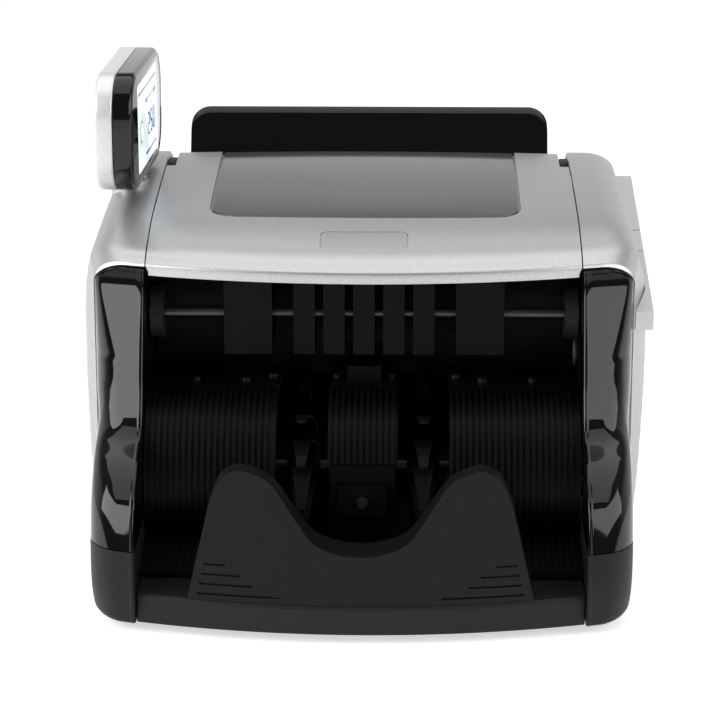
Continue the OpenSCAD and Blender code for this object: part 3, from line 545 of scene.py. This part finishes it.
def vent_cutter(side):
    """Upright slots low on the side, with round ends: VENT_REACH from their middle to an end's centre."""
    slots = []
    for i in range(VENT_COUNT):
        ring = []
        for y, z in circle(0, 0, VENT_R, 16):
            reach = VENT_REACH if z >= 0 else -VENT_REACH
            ring.append((VENT_Y + i * VENT_PITCH + y, VENT_Z + reach + z))
        slots.append(crosswise(ring, side * (SIDE_X - 25 * MM), side * (SIDE_X + 5 * MM)))
    return loose_mesh("vent_cutter", *joined(slots))


def socket_cutter():
    """Round hole for the display's socket, with a narrow gap all round."""
    low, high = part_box("display_socket")
    ring = circle((low.x + high.x) / 2, (low.y + high.y) / 2, (high.x - low.x) / 2 + 0.15 * MM, 48)
    return loose_mesh("socket_cutter", *upright(ring, low.z, high.z + 20 * MM))


def patch(half, y0, y1, corner, top_sink, bottom_sink, round_rear=False, cols=24, row_count=30):
    """Closed solid that follows the skin between two depths, with rounded corners in plan."""
    edge = [y0 + corner * (1 - math.cos(a)) for a in quarter(8)]
    tail = [y1]
    if round_rear:
        tail = [y1 - corner * (1 - math.cos(a)) for a in quarter(8)[::-1]]
    rows = edge + steps(edge[-1], tail[0], row_count)[1:-1] + tail
    grids = [[], []]
    for y in rows:
        near = max(y0 + corner - y, (y - y1 + corner) if round_rear else 0.0, 0.0)
        width = half - corner + math.sqrt(max(corner * corner - near * near, 0.0))
        for t in steps(-1, 1, cols):
            for grid, sink in zip(grids, (top_sink, bottom_sink)):
                grid.append(top_point(width * t, y, sink))
    return slab(grids[0], grids[1], len(rows), cols + 1)


INSET_HALF = (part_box("cover_inset")[1].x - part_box("cover_inset")[0].x) / 2 + 1 * MM
INSET_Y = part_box("cover_inset")[0].y + 0.2 * MM
BADGE_HALF = 20.5 * MM
BADGE_Y = -47 * MM
BADGE_D = 16 * MM
LIP_ROUND = 5 * MM
COVER_COLS = 72
NOTCH_D = 26 * MM
NOTCH_HALF = 5 * MM
EAR_R = 5.8 * MM


def lip_corner(y, z):
    """How far the cover's front corners are drawn in at a row: round below, straight above."""
    low = max(LIP_Z + 0.6 * MM + LIP_ROUND - z, 0.0) if y < COVER_FRONT + 1 * MM else 0.0
    return LIP_ROUND - math.sqrt(max(LIP_ROUND * LIP_ROUND - low * low, 0.0))


def top_cover():
    """Hinged silver cover: bowed lip, groove for the grey plate, blank badge recess and rear notches."""
    rows = centre_rows(COVER_REAR)
    half = THROAT - SEAM
    outer = []
    for y, z in rows:
        width = half - lip_corner(y, z)
        outer += [(x, bowed_y(x, y), z - crown(x, y)) for x in steps(-width, width, COVER_COLS)]
    cutters = [
        loose_mesh("groove", *patch(INSET_HALF + 1.1 * MM, INSET_Y - 1.1 * MM, COVER_REAR + 10 * MM, 12 * MM,
                                    -6 * MM, 1.5 * MM)),
        loose_mesh("badge", *patch(BADGE_HALF, BADGE_Y, BADGE_Y + BADGE_D, 3.5 * MM, -5 * MM, 0.7 * MM, True,
                                   16, 10)),
    ]
    notch_y, rear = COVER_REAR - NOTCH_D, COVER_REAR + 5 * MM
    for s in (-1, 1):
        inner, outside = s * (THROAT - NOTCH_HALF), s * (THROAT + NOTCH_HALF)
        ring = [(inner, notch_y), (outside, notch_y), (outside, rear), (inner, rear)]
        cutters.append(loose_mesh("notch", *upright(ring, LIP_Z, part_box("top_cover")[1].z + 10 * MM)))
    shell("top_cover_shell", outer, len(rows), COVER_COLS + 1, 2.8 * MM, "cover", SILVER,
          ["top_cover"], cutters)


def cover_trim():
    """Folded lip under the cover's front, the grey plate, the badge plate and the hinge ears."""
    half = THROAT - 1.5 * MM
    # Back from the lip's front and up from LIP_Z, in mm
    section = [(0.4, 0.2), (7.5, 0.2), (8.0, 0.8), (8.0, 5.2), (3.0, 7.0), (0.4, 4.5)]
    rings = []
    for x in steps(-half, half, 60):
        y = arc_y(LIP_AXIS, FRONT_R, x)
        rings.append([(x, y + a * MM, LIP_Z + b * MM) for a, b in section])
    make("cover_lip", *rings_solid(rings), "cover", "silver", SILVER, 0.5 * MM)
    make("cover_plate", *patch(INSET_HALF, INSET_Y, COVER_REAR - 0.3 * MM, 12 * MM, 0.15 * MM, 1.45 * MM),
         "cover", "grey_plate", GREY_PLATE, 0.35 * MM, replaces=["cover_inset"])
    plate = patch(BADGE_HALF - 0.5 * MM, BADGE_Y + 0.5 * MM, BADGE_Y + BADGE_D - 0.5 * MM, 3.0 * MM,
                  0.25 * MM, 0.7 * MM, True, 16, 10)
    make("badge_plate", *plate, "cover", "silver", BADGE, 0.2 * MM)
    pin_low, pin_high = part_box("hinge_pins")
    py, pz = (pin_low.y + pin_high.y) / 2, (pin_low.z + pin_high.z) / 2
    ring = []
    for k in range(25):
        a = math.pi + math.pi * k / 24
        ring.append((py + EAR_R * math.cos(a), pz + EAR_R * math.sin(a)))
    ring += [(py + EAR_R, COVER_Z - 3.2 * MM), (py - EAR_R, COVER_Z - 3.4 * MM)]
    for s, label in SIDES:
        ear = crosswise(ring, s * (THROAT - 8.4 * MM), s * (THROAT - 5.6 * MM))
        make(f"hinge_ear_{label}", *ear, "cover", "silver", SILVER, 0.3 * MM)


def hinge_blocks():
    """Dark blocks of the chassis that close the view through the cover's rear notches."""
    ring = [(COVER_REAR - 24 * MM, BODY_Z + 138 * MM), (COVER_REAR + 1 * MM, BODY_Z + 138 * MM),
            (COVER_REAR + 1 * MM, COVER_Z - 6 * MM), (COVER_REAR - 4 * MM, COVER_Z - 3.6 * MM),
            (COVER_REAR - 20 * MM, COVER_Z - 4.6 * MM), (COVER_REAR - 24 * MM, COVER_Z - 7 * MM)]
    for s, label in SIDES:
        block = crosswise(ring, s * (THROAT - 4.4 * MM), s * (THROAT - 0.4 * MM))
        make(f"hinge_block_{label}", *block, "root", "satin_black", SHADED_INNER, 0.4 * MM)


CORNER_Y = arc_y(BASE_AXIS, FRONT_R, THROAT)
# Front edge of a cheek at the throat, from top to bottom, as (y, z)
CHEEK_LINE = spline([
    (SEAM_Y - 11.4 * MM, LIP_Z + 5.2 * MM), (SEAM_Y - 11.7 * MM, LIP_Z + 2 * MM),
    (SEAM_Y - 12.8 * MM, LIP_Z - 5 * MM), (SEAM_Y - 16 * MM, LIP_Z - 15 * MM),
    (SEAM_Y - 24 * MM, LIP_Z - 38 * MM), (SEAM_Y - 29 * MM, BODY_Z + 90 * MM),
    (SEAM_Y - 35 * MM, BODY_Z + 79.5 * MM), (SEAM_Y - 43 * MM, BODY_Z + 72.5 * MM),
    (SEAM_Y - 60 * MM, BODY_Z + 66.5 * MM), (SEAM_Y - 72 * MM, BODY_Z + 60 * MM),
    (CORNER_Y + 4 * MM, BODY_Z + 50 * MM), (CORNER_Y - 2 * MM, BODY_Z + 32 * MM),
    (CORNER_Y - 4.6 * MM, BODY_Z + 16 * MM), (CORNER_Y - 2.6 * MM, BODY_Z + 3 * MM),
    (CORNER_Y - 1 * MM, BODY_Z + 0.2 * MM)], 14)
# Half-width of the cheeks by height, rising, as (z, x)
CHEEK_OUT = spline([
    (BODY_Z, CHEEK_X - 9 * MM), (BODY_Z + 2 * MM, CHEEK_X - 5.4 * MM),
    (BODY_Z + 7 * MM, CHEEK_X - 3.5 * MM), (BODY_Z + 28 * MM, CHEEK_X - 2.6 * MM),
    (BODY_Z + 70 * MM, CHEEK_X - 2.6 * MM), (BODY_Z + 88 * MM, CHEEK_X - 1 * MM),
    (BODY_Z + 108 * MM, CHEEK_X - 0.3 * MM), (LIP_Z - 13 * MM, CHEEK_X - 0.4 * MM),
    (LIP_Z - 4 * MM, CHEEK_X - 0.3 * MM), (LIP_Z + 5.2 * MM, CHEEK_X - 0.3 * MM)], 5)
# The cheek's outer round: its width, and how much deeper than wide it is
CHEEK_ROUND, ROUND_DEPTH = 13 * MM, 1.15


def cheek_rows(z_low, z_high):
    """The part of the cheek's front line between two heights, with exact ends."""
    rows = [p for p in CHEEK_LINE if z_low < p[1] < z_high]
    rising = CHEEK_LINE[::-1]
    rows.append((lookup(rising, z_low, 1, 0), z_low))
    if z_high < CHEEK_LINE[0][1]:
        rows.insert(0, (lookup(rising, z_high, 1, 0), z_high))
    return rows


def cheek_solid(side, name, z_low, z_high, slot, material, node):
    """Front cheek as a closed form: throat edge, bowed and rounded front, side back to the seam."""
    rings = []
    rear = SEAM_Y - 0.3 * MM
    for y, z in cheek_rows(z_low, z_high):
        out = lookup(CHEEK_OUT, z)
        depth = rear - y
        round_out = min(CHEEK_ROUND, (depth - 0.4 * MM - bow(out)) / ROUND_DEPTH, (out - THROAT) * 0.62)
        round_out = max(round_out, 0.5 * MM)
        round_in = min(1.6 * MM, depth * 0.3)
        ring = [(THROAT + EDGE_GAP, rear), (THROAT + EDGE_GAP, y + round_in)]
        for a in quarter(5)[1:]:
            x = THROAT + EDGE_GAP + round_in * (1 - math.cos(a))
            ring.append((x, y + round_in * (1 - math.sin(a))))
        start = ring[-1][0]
        for x in steps(start, out - round_out, 14)[1:]:
            ring.append((x, y + bow(x)))
        for a in quarter(20)[1:]:
            x = out - round_out + round_out * math.sin(a)
            ring.append((x, y + bow(x) + round_out * ROUND_DEPTH * (1 - math.cos(a))))
        ring.append((out, rear))
        rings.append([(side * x, min(yy, rear), min(z, under_shell(x))) for x, yy in ring])
    make(name, *rings_solid(rings), "root", slot, material, 0.4 * MM, 40, replaces=[node])


def bow(x):
    """How far the front falls back at x, against the throat's edge."""
    return arc_y(BASE_AXIS, FRONT_R, x) - CORNER_Y


def under_shell(x):
    """Height of the seam under the silver shell's front edge at x."""
    out = min(max((x - (CHEEK_X - SHOULDER_W)) / SHOULDER_W, 0.0), 0.999)
    return LIP_Z + 3.9 * MM - SHOULDER_H * (1 - math.sqrt(1 - out * out))


def throat_wall(side, name, z0, z1):
    """Flat inner wall that carries on from a cheek back to the hopper deck."""
    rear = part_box("hopper_deck")[0].y - 4 * MM
    inner, outer = side * (THROAT + EDGE_GAP), side * (THROAT + 2.9 * MM)
    ring = [(inner, SEAM_Y), (outer, SEAM_Y), (outer, rear), (inner, rear)]
    make(name, *upright(ring, z0, z1), "root", "satin_black", SHADED_INNER, 0.3 * MM)


STOP_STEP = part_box("bill_stop")[0].z
STOP_DIP = STOP_STEP + 23 * MM
STOP_FOOT = STOP_W / 2
STOP_SHOULDER = STOP_W / 2 - 10.5 * MM
# Top edge of the front stop, from its notch to its shoulder, as (x, z)
STOP_CURVE = spline([
    (0, STOP_DIP), (10 * MM, STOP_DIP + 1.3 * MM), (20.5 * MM, STOP_DIP + 6 * MM),
    (28 * MM, STOP_DIP + 16 * MM), (39 * MM, STOP_TOP - 6 * MM), (48 * MM, STOP_TOP - 1 * MM),
    (55 * MM, STOP_TOP - 0.1 * MM), (62 * MM, STOP_TOP - 5 * MM), (STOP_SHOULDER, STOP_STEP + 46 * MM)], 8)
# The stop's grooves, in mm: where each starts, the height of the lowest over the band, and their pitch
GROOVE_STARTS = (36, 48, 53.5, 60.5)
GROOVE_LOW, GROOVE_PITCH = 3.2, 4.7


def bill_stop():
    """Notched front stop: a bowed wedge with rounded rims and four grooves a side."""
    front_r, back_r = FRONT_R - 1 * MM, FRONT_R - 11 * MM
    widening = STOP_FOOT / STOP_SHOULDER
    cols = [-p[0] for p in STOP_CURVE[::-1]][:-1] + [p[0] for p in STOP_CURVE]
    levels = 26
    grids = [[], []]
    for r in range(levels + 1):
        t = r / levels
        for x_top in cols:
            z_top = lookup(STOP_CURVE, abs(x_top))
            x = x_top * (widening + (1 - widening) * t)
            z = STOP_STEP + (z_top - STOP_STEP) * t
            height = (z - STOP_STEP) / (STOP_TOP - STOP_STEP)
            back = back_r - 14 * MM * (1 - height)
            grids[0].append((x, arc_y(BASE_AXIS, front_r, x), z))
            grids[1].append((x, arc_y(BASE_AXIS, back, x), z))
    obj = loose_mesh("bill_stop_body", *slab(grids[0], grids[1], levels + 1, len(cols)))
    cutters = []
    for side in (-1, 1):
        for i, x_in in enumerate(GROOVE_STARTS):
            z = BAND_Z + (GROOVE_LOW + GROOVE_PITCH * i) * MM
            x_out = STOP_FOOT - (4.5 + 1.1 * i) * MM
            rings = []
            for x in steps(x_in * MM, x_out, 14):
                y = arc_y(BASE_AXIS, front_r, x)
                rings.append([(side * x, y - 2 * MM, z - 1.1 * MM), (side * x, y + 0.9 * MM, z - 0.35 * MM),
                              (side * x, y + 0.9 * MM, z + 0.35 * MM), (side * x, y - 2 * MM, z + 1.1 * MM)])
            cutters.append(loose_mesh("groove", *rings_solid(rings)))
    cut(obj, cutters)
    finish_piece(obj, "root", TRAY, 1.1 * MM, 40, 4, ["bill_stop"])


def base_band():
    """Bowed band along the base front with a softened top edge and the ledge behind it.

    Its section is in mm, drawn at one height and scaled to the band's height in the frame.
    """
    half = THROAT - 0.35 * MM
    z0 = BODY_Z + 0.3 * MM
    drawn = 13.7
    section = [(0.6, 0.0), (0.0, 1.2), (0.0, 12.4), (1.4, drawn), (26, drawn), (26, 11.5),
               (3, 11.0), (3, 0.0)]
    scale = (BAND_Z - z0) / drawn
    rings = []
    for x in steps(-half, half, 60):
        y = arc_y(BASE_AXIS, FRONT_R, x)
        rings.append([(x, y + a * MM, z0 + b * scale) for a, b in section])
    make("base_band", *rings_solid(rings), "root", "satin_black", SATIN, 0.5 * MM, replaces=["base_front"])


# ---------------------------------------------------------------- display
POST_LOW, POST_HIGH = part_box("display_socket")
POST_X, POST_Y = (POST_LOW.x + POST_HIGH.x) / 2, (POST_LOW.y + POST_HIGH.y) / 2
DISPLAY_Z0, DISPLAY_Z1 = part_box("display_front")[0].z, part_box("display_front")[1].z
DISPLAY_MID_Z = (DISPLAY_Z0 + DISPLAY_Z1) / 2
DISPLAY_H = DISPLAY_Z1 - DISPLAY_Z0
DISPLAY_L = 102 * MM
DISPLAY_YAW = math.radians(-2.9)
DISPLAY_FACE = 9.3 * MM
DISPLAY_JOIN = -0.3 * MM
DISPLAY_BACK = -9.3 * MM
DISPLAY_CORNER = 20 * MM
FACE_ROUND, BACK_ROUND = 2.6 * MM, 2 * MM


def outline(draw_in, length=DISPLAY_L, height=DISPLAY_H, corner=DISPLAY_CORNER, count=12):
    """Rounded rectangle as (along, up), drawn in by draw_in."""
    r = max(corner - draw_in, 0.5 * MM)
    a, b = length / 2 - draw_in - r, height / 2 - draw_in - r
    points = []
    for cx, cy, start in ((a, b, 0), (-a, b, 90), (-a, -b, 180), (a, -b, 270)):
        for k in range(count + 1):
            t = math.radians(start + 90 * k / count)
            points.append((cx + r * math.cos(t), cy + r * math.sin(t)))
    return points


def display_point(depth, along, up):
    """Depth runs out of the display's face, along runs away from the operator."""
    c, s = math.cos(DISPLAY_YAW), math.sin(DISPLAY_YAW)
    return (POST_X + depth * c - along * s, POST_Y + depth * s + along * c, DISPLAY_MID_Z + up)


def display_ring(depth, draw_in):
    """The display's outline at a depth, drawn in by draw_in."""
    return [display_point(depth, a, u) for a, u in outline(draw_in)]


def display_shells():
    """Silver back shell, black front shell, window, lit panel and its generic figures."""
    back = [display_ring(DISPLAY_JOIN - 0.15 * MM, 0.5 * MM),
            display_ring(DISPLAY_JOIN - 0.5 * MM, 0.15 * MM),
            display_ring(DISPLAY_JOIN - 1.2 * MM, 0)]
    for a in quarter(8):
        back.append(display_ring(DISPLAY_BACK + BACK_ROUND * (1 - math.sin(a)),
                                 BACK_ROUND * (1 - math.cos(a))))
    make("display_rear_shell", *rings_solid(back), "display", "silver", PALE_SILVER,
         replaces=["display_back"])
    front = [display_ring(DISPLAY_JOIN + 0.15 * MM, 0.5 * MM),
             display_ring(DISPLAY_JOIN + 0.5 * MM, 0.1 * MM)]
    for a in quarter(8):
        front.append(display_ring(DISPLAY_FACE - FACE_ROUND * (1 - math.sin(a)),
                                  0.1 * MM + FACE_ROUND * (1 - math.cos(a))))
    front.append(display_ring(DISPLAY_FACE - 0.15 * MM, 3.2 * MM))
    front.append(display_ring(DISPLAY_FACE - 0.6 * MM, 3.4 * MM))
    make("display_bezel", *rings_solid(front), "display", "gloss_black", PIANO,
         replaces=["display_front", "display_screen"])
    window = [display_ring(DISPLAY_FACE - 0.62 * MM, 3.5 * MM),
              display_ring(DISPLAY_FACE - 0.2 * MM, 3.5 * MM),
              display_ring(DISPLAY_FACE - 0.05 * MM, 3.9 * MM)]
    make("display_window", *rings_solid(window), "display", "gloss_black", GLASS_BLACK)
    panel(0, 0, 64, 43, 2, 0.05, LCD_WHITE, "lcd_panel")
    panel(0, 16.5, 60, 1.4, 0.5, 0.12, LCD_BLUE, "lcd_top_bar")
    panel(-20, -3, 12, 12, 5.9, 0.12, LCD_GREEN, "lcd_dial")
    panel(-20, -3, 8.6, 8.6, 4.2, 0.18, LCD_WHITE, "lcd_dial_inner")
    panel(10, -16.5, 36, 1.4, 0.5, 0.12, LCD_BLUE, "lcd_bottom_bar")
    for i in range(3):
        panel(13 * i - 2, 9.5, 9, 2.2, 0.8, 0.12, LCD_GREEN if i == 1 else LCD_BLUE, f"lcd_chip_{i}")
    digits("250", 12, -3.5, 10)


def panel(along, up, length, height, corner, lift, material, name):
    """Thin lit piece on the window, all sizes in mm from the middle of the display's face."""
    def ring(depth, draw_in):
        return [display_point(DISPLAY_FACE + depth, along * MM + a, up * MM + u)
                for a, u in outline(draw_in, length * MM, height * MM, corner * MM, 6)]
    make(name, *rings_solid([ring((lift - 0.06) * MM, 0), ring(lift * MM, 0),
                             ring((lift + 0.02) * MM, 0.05 * MM)]),
         "display", "screen_glass", material)


SEGMENTS = {"0": "abcdef", "2": "abged", "5": "afgcd"}


def digits(text, along, up, size):
    """Seven-segment figures, in mm: each lit bar is a thin plate with pointed ends."""
    w, h, t = size * 0.5, size, size * 0.13
    places = {"a": (0, h / 2, 0), "b": (w / 2, h / 4, 90), "c": (w / 2, -h / 4, 90), "d": (0, -h / 2, 0),
              "e": (-w / 2, -h / 4, 90), "f": (-w / 2, h / 4, 90), "g": (0, 0, 0)}
    bars = []
    for i, figure in enumerate(text):
        cx = along + (i - (len(text) - 1) / 2) * size * 0.85
        for bar in SEGMENTS[figure]:
            bx, by, turned = places[bar]
            end = (h / 2 if turned else w) * 0.9 / 2
            ring = [(-end, 0), (-end + t / 2, t / 2), (end - t / 2, t / 2),
                    (end, 0), (end - t / 2, -t / 2), (-end + t / 2, -t / 2)]
            if turned:
                ring = [(-b, a) for a, b in ring]
            ring = [((cx + bx + a) * MM, (up + by + b) * MM) for a, b in ring]
            bars.append(rings_solid([[display_point(DISPLAY_FACE + depth * MM, a, b) for a, b in ring]
                                     for depth in (0.07, 0.16)]))
    make("lcd_figures", *joined(bars), "display", "screen_glass", LCD_BLUE)


def display_neck():
    """Turned post between the socket and the display."""
    low, high = POST_LOW.z, DISPLAY_Z0
    # Radius in mm, and height
    profile = [(5.9, low + 5 * MM), (5.9, POST_HIGH.z - 0.2 * MM), (7.6, POST_HIGH.z + 0.4 * MM),
               (8.0, POST_HIGH.z + 0.8 * MM), (8.0, high - 0.7 * MM), (7.4, high + 0.2 * MM),
               (7.4, high + 1.5 * MM)]
    rings = [[(x, y, z) for x, y in circle(POST_X, POST_Y, r * MM, 48)] for r, z in profile]
    make("display_neck", *rings_solid(rings), "display", "silver", PALE_SILVER)


# ---------------------------------------------------------------- hopper
def backrest():
    """Gloss backrest: rounded corners and top, a shallow groove near its foot, and its pivot barrel."""
    low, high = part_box("hopper_backrest")
    pivot_y, pivot_z = REAR_Y - 1 * MM, BODY_Z + 149.5 * MM
    lean = math.radians(28)
    half = (high.x - low.x) / 2
    length, corner = 36 * MM, 10 * MM
    # The plate's section, as mm across it and mm up from the pivot
    front_face = [(-3.0, 0.0), (-3.0, 5.0), (-2.2, 6.0), (-2.2, 7.0), (-3.0, 8.0), (-3.0, 30.0),
                  (-2.6, 33.5), (-1.5, 35.5), (0.0, 36.0)]
    rear_face = [(0.0, 36.0), (1.5, 35.5), (2.6, 33.5), (3.0, 30.0), (3.0, 0.0)]
    section = spline(front_face, 2)[:-1] + rear_face
    ends = [corner * (1 - math.cos(a)) for a in quarter(10)]
    middle = steps(-half + corner, half - corner, 20)[1:-1]
    rings = []
    for x in [-half + e for e in ends] + middle + [half - e for e in ends[::-1]]:
        inside = max(abs(x) - (half - corner), 0.0)
        drop = corner - math.sqrt(max(corner * corner - inside * inside, 0.0))
        ring = []
        for t, up in section:
            rise = min(up * MM, length - drop) if up < 30 else up * MM - drop
            y = pivot_y + t * MM * math.cos(lean) + rise * math.sin(lean)
            z = pivot_z - t * MM * math.sin(lean) + rise * math.cos(lean)
            ring.append((x, y, z))
        rings.append(ring)
    make("backrest_plate", *rings_solid(rings), "backrest", "gloss_black", PIANO, 0.3 * MM, 50,
         replaces=["hopper_backrest"])
    barrel = []
    for x, radius in ((-half, 5.0), (-half + 0.5 * MM, 5.5), (half - 0.5 * MM, 5.5), (half, 5.0)):
        barrel.append([(x, y, z) for y, z in circle(pivot_y, pivot_z, radius * MM, 40)])
    make("backrest_barrel", *rings_solid(barrel), "backrest", "gloss_black", PIANO)


# ---------------------------------------------------------------- CAD nodes that stay
def dress(names, material, bevel=0.0):
    """Gives CAD nodes one material and a small round on their hard edges."""
    for name in names:
        obj = NODES[name]
        obj.data.materials.clear()
        obj.data.materials.append(material)
        for face in obj.data.polygons:
            face.material_index = 0
        smooth(obj, bevel, segments=2)


def dress_frame():
    """Looks of the CAD nodes that show as they are."""
    dress(["base_pan", "rear_panel", "power_inlet", "switch_body", "power_rocker"], PANEL, 0.25 * MM)
    dress(["rubber_feet"], RUBBER, 0.8 * MM)
    dress(["side_rail"], RAIL_SILVER, 0.6 * MM)
    dress(["backrest_knuckles"], SATIN, 0.4 * MM)
    dress(["left_guide", "centre_guide", "right_guide", "stacker_floor"], SHADED_INNER, 0.12 * MM)
    dress(["centre_bracket", "sensor_deck", "sensor_block", "guide_comb", "hopper_deck",
           "left_hopper_guide", "right_hopper_guide"], SHADED_INNER, 0.3 * MM)
    dress(["left_stacker_wheel", "right_stacker_wheel"], SHADED_INNER, 0.25 * MM)
    dress(["exit_rollers", "feed_rollers", "pickup_rollers"], ROLLER, 0.5 * MM)
    dress(["drive_belt", "stacker_belt", "exit_belt", "pickup_belt"], RUBBER)
    dress(["feed_shaft", "pickup_shaft", "hinge_pins"], STEEL, 0.3 * MM)
    # These steel parts take the near-black steel, painted shade of the dark cavity
    dress(["stacker_shaft", "exit_shaft", "left_frame", "right_frame"], SHADED_STEEL, 0.2 * MM)
    dress(["small_screws"], SHADED_STEEL, 0.5 * MM)
    dress(["drive_motor"], SHEET, 0.2 * MM)
    # The tie rods are steel; they take the inner near-black as painted shade where they show through the
    # slots
    dress(["tie_rods", "shaft_bearings"], SHADED_INNER, 0.2 * MM)
    dress(["stacker_pulley", "exit_pulley", "feed_pulleys", "pickup_pulley", "motor_pulley"], ALLOY, 0.3 * MM)
    dress(["main_board"], BOARD, 0.1 * MM)
    dress(["display_socket"], SILVER, 0.6 * MM)


# ---------------------------------------------------------------- stage
def stage_floor():
    """Pale floor: its glow shows to the camera and in reflections only, and it keeps the object's shadow."""
    size = 3.0
    mesh = bpy.data.meshes.new("floor")
    mesh.from_pydata([(-size, -size, 0), (size, -size, 0), (size, size, 0), (-size, size, 0)], [],
                     [[0, 1, 2, 3]])
    floor = bpy.data.objects.new("floor", mesh)
    bpy.context.scene.collection.objects.link(floor)
    material, nodes, links, shader = new_material("floor_white")
    shader.inputs["Base Color"].default_value = (0.64, 0.64, 0.64, 1)
    shader.inputs["Roughness"].default_value = 0.85
    shader.inputs["Specular IOR Level"].default_value = 0.1
    shader.inputs["Emission Color"].default_value = (1, 1, 1, 1)
    links.new(spread(nodes, links, seen_rays(nodes, links), 0.0, 0.58), shader.inputs["Emission Strength"])
    mesh.materials.append(material)


LAMP_TARGET = Vector((0, 0, 0.1))
# The world's strength as light, and in mirrors towards the operator and above
WORLD_LIGHT, MIRROR_FRONT, MIRROR_ABOVE = 0.4, 0.12, 0.15


def area_light(name, place, size, size_y, power):
    """Rectangular lamp that looks at LAMP_TARGET. Its size is in metres, its power in watts."""
    data = bpy.data.lights.new(name, "AREA")
    data.shape = "RECTANGLE"
    data.size = size
    data.size_y = size_y
    data.energy = power
    light = bpy.data.objects.new(name, data)
    light.location = place
    light.rotation_euler = (LAMP_TARGET - Vector(place)).to_track_quat("-Z", "Y").to_euler()
    bpy.context.scene.collection.objects.link(light)


def stage_lights():
    """A large overhead panel, two side panels and the world.

    The world is white to the camera all round. Mirrors show it white only low down and behind the machine.
    """
    area_light("overhead", (0.0, 0.25, 1.5), 2.2, 1.7, 14.5)
    area_light("left_panel", (-1.05, -0.512, 0.67), 1.27, 0.84, 15)
    area_light("right_panel", (1.05, -0.512, 0.67), 1.27, 0.84, 9)
    world = bpy.data.worlds.new("studio")
    bpy.context.scene.world = world
    world.use_nodes = True
    nodes, links = world.node_tree.nodes, world.node_tree.links
    background = nodes["Background"]
    background.inputs["Color"].default_value = (1, 1, 1, 1)
    direction = nodes.new("ShaderNodeSeparateXYZ")
    links.new(nodes.new("ShaderNodeTexCoord").outputs["Generated"], direction.inputs["Vector"])
    rear = spread(nodes, links, direction.outputs["Y"], MIRROR_FRONT, 1.0, -0.1, 0.6)
    low = spread(nodes, links, direction.outputs["Z"], 1.0, MIRROR_ABOVE, 0.3, 0.54)
    mirrored = combine(nodes, links, "MINIMUM", rear, low)
    strength = nodes.new("ShaderNodeMix")
    strength.inputs["A"].default_value = WORLD_LIGHT
    links.new(seen_rays(nodes, links), strength.inputs["Factor"])
    links.new(mirrored, strength.inputs["B"])
    camera_ray = nodes.new("ShaderNodeLightPath").outputs["Is Camera Ray"]
    links.new(combine(nodes, links, "MAXIMUM", camera_ray, strength.outputs["Result"]),
              background.inputs["Strength"])


CAMERA_FOCAL = 140.0
CAMERA_DOWN = math.radians(17)
CAMERA_SIDE = math.radians(1.0)
CAMERA_DISTANCE = 1.288
AIM = (-1.6 * MM, -51.3 * MM, 151 * MM)
AIM_ABOVE = 43.7 * MM


def stage_camera():
    """Camera at the photograph's viewing angle: the aim point lies AIM_ABOVE over the picture's middle."""
    data = bpy.data.cameras.new("camera")
    data.lens = CAMERA_FOCAL
    data.sensor_width = 36
    data.clip_start = 0.05
    data.clip_end = 20
    camera = bpy.data.objects.new("camera", data)
    bpy.context.scene.collection.objects.link(camera)
    level = math.cos(CAMERA_DOWN)
    forward = Vector((-math.sin(CAMERA_SIDE) * level, math.cos(CAMERA_SIDE) * level, -math.sin(CAMERA_DOWN)))
    right = forward.cross(Vector((0, 0, 1))).normalized()
    up = right.cross(forward).normalized()
    camera.location = Vector(AIM) - up * AIM_ABOVE - forward * CAMERA_DISTANCE
    camera.rotation_euler = forward.to_track_quat("-Z", "Y").to_euler()
    bpy.context.scene.camera = camera


stage_camera()
dress_frame()
side_cover(-1, "left_side_cover")
side_cover(1, "right_side_cover")
top_cover()
cover_trim()
hinge_blocks()
for s, label in SIDES:
    cheek_solid(s, f"{label}_gloss_cheek", SKIRT_Z + SEAM, CHEEK_LINE[0][1], "gloss_black", PIANO,
                f"{label}_cheek")
    cheek_solid(s, f"{label}_satin_skirt", BODY_Z + 0.2 * MM, SKIRT_Z, "satin_black", SATIN, f"{label}_skirt")
    throat_wall(s, f"{label}_throat_wall", BAND_Z + 0.5 * MM, LIP_Z - 2 * MM)
bill_stop()
base_band()
display_shells()
display_neck()
backrest()
stage_floor()
stage_lights()
bpy.context.scene.view_settings.view_transform = "Standard"
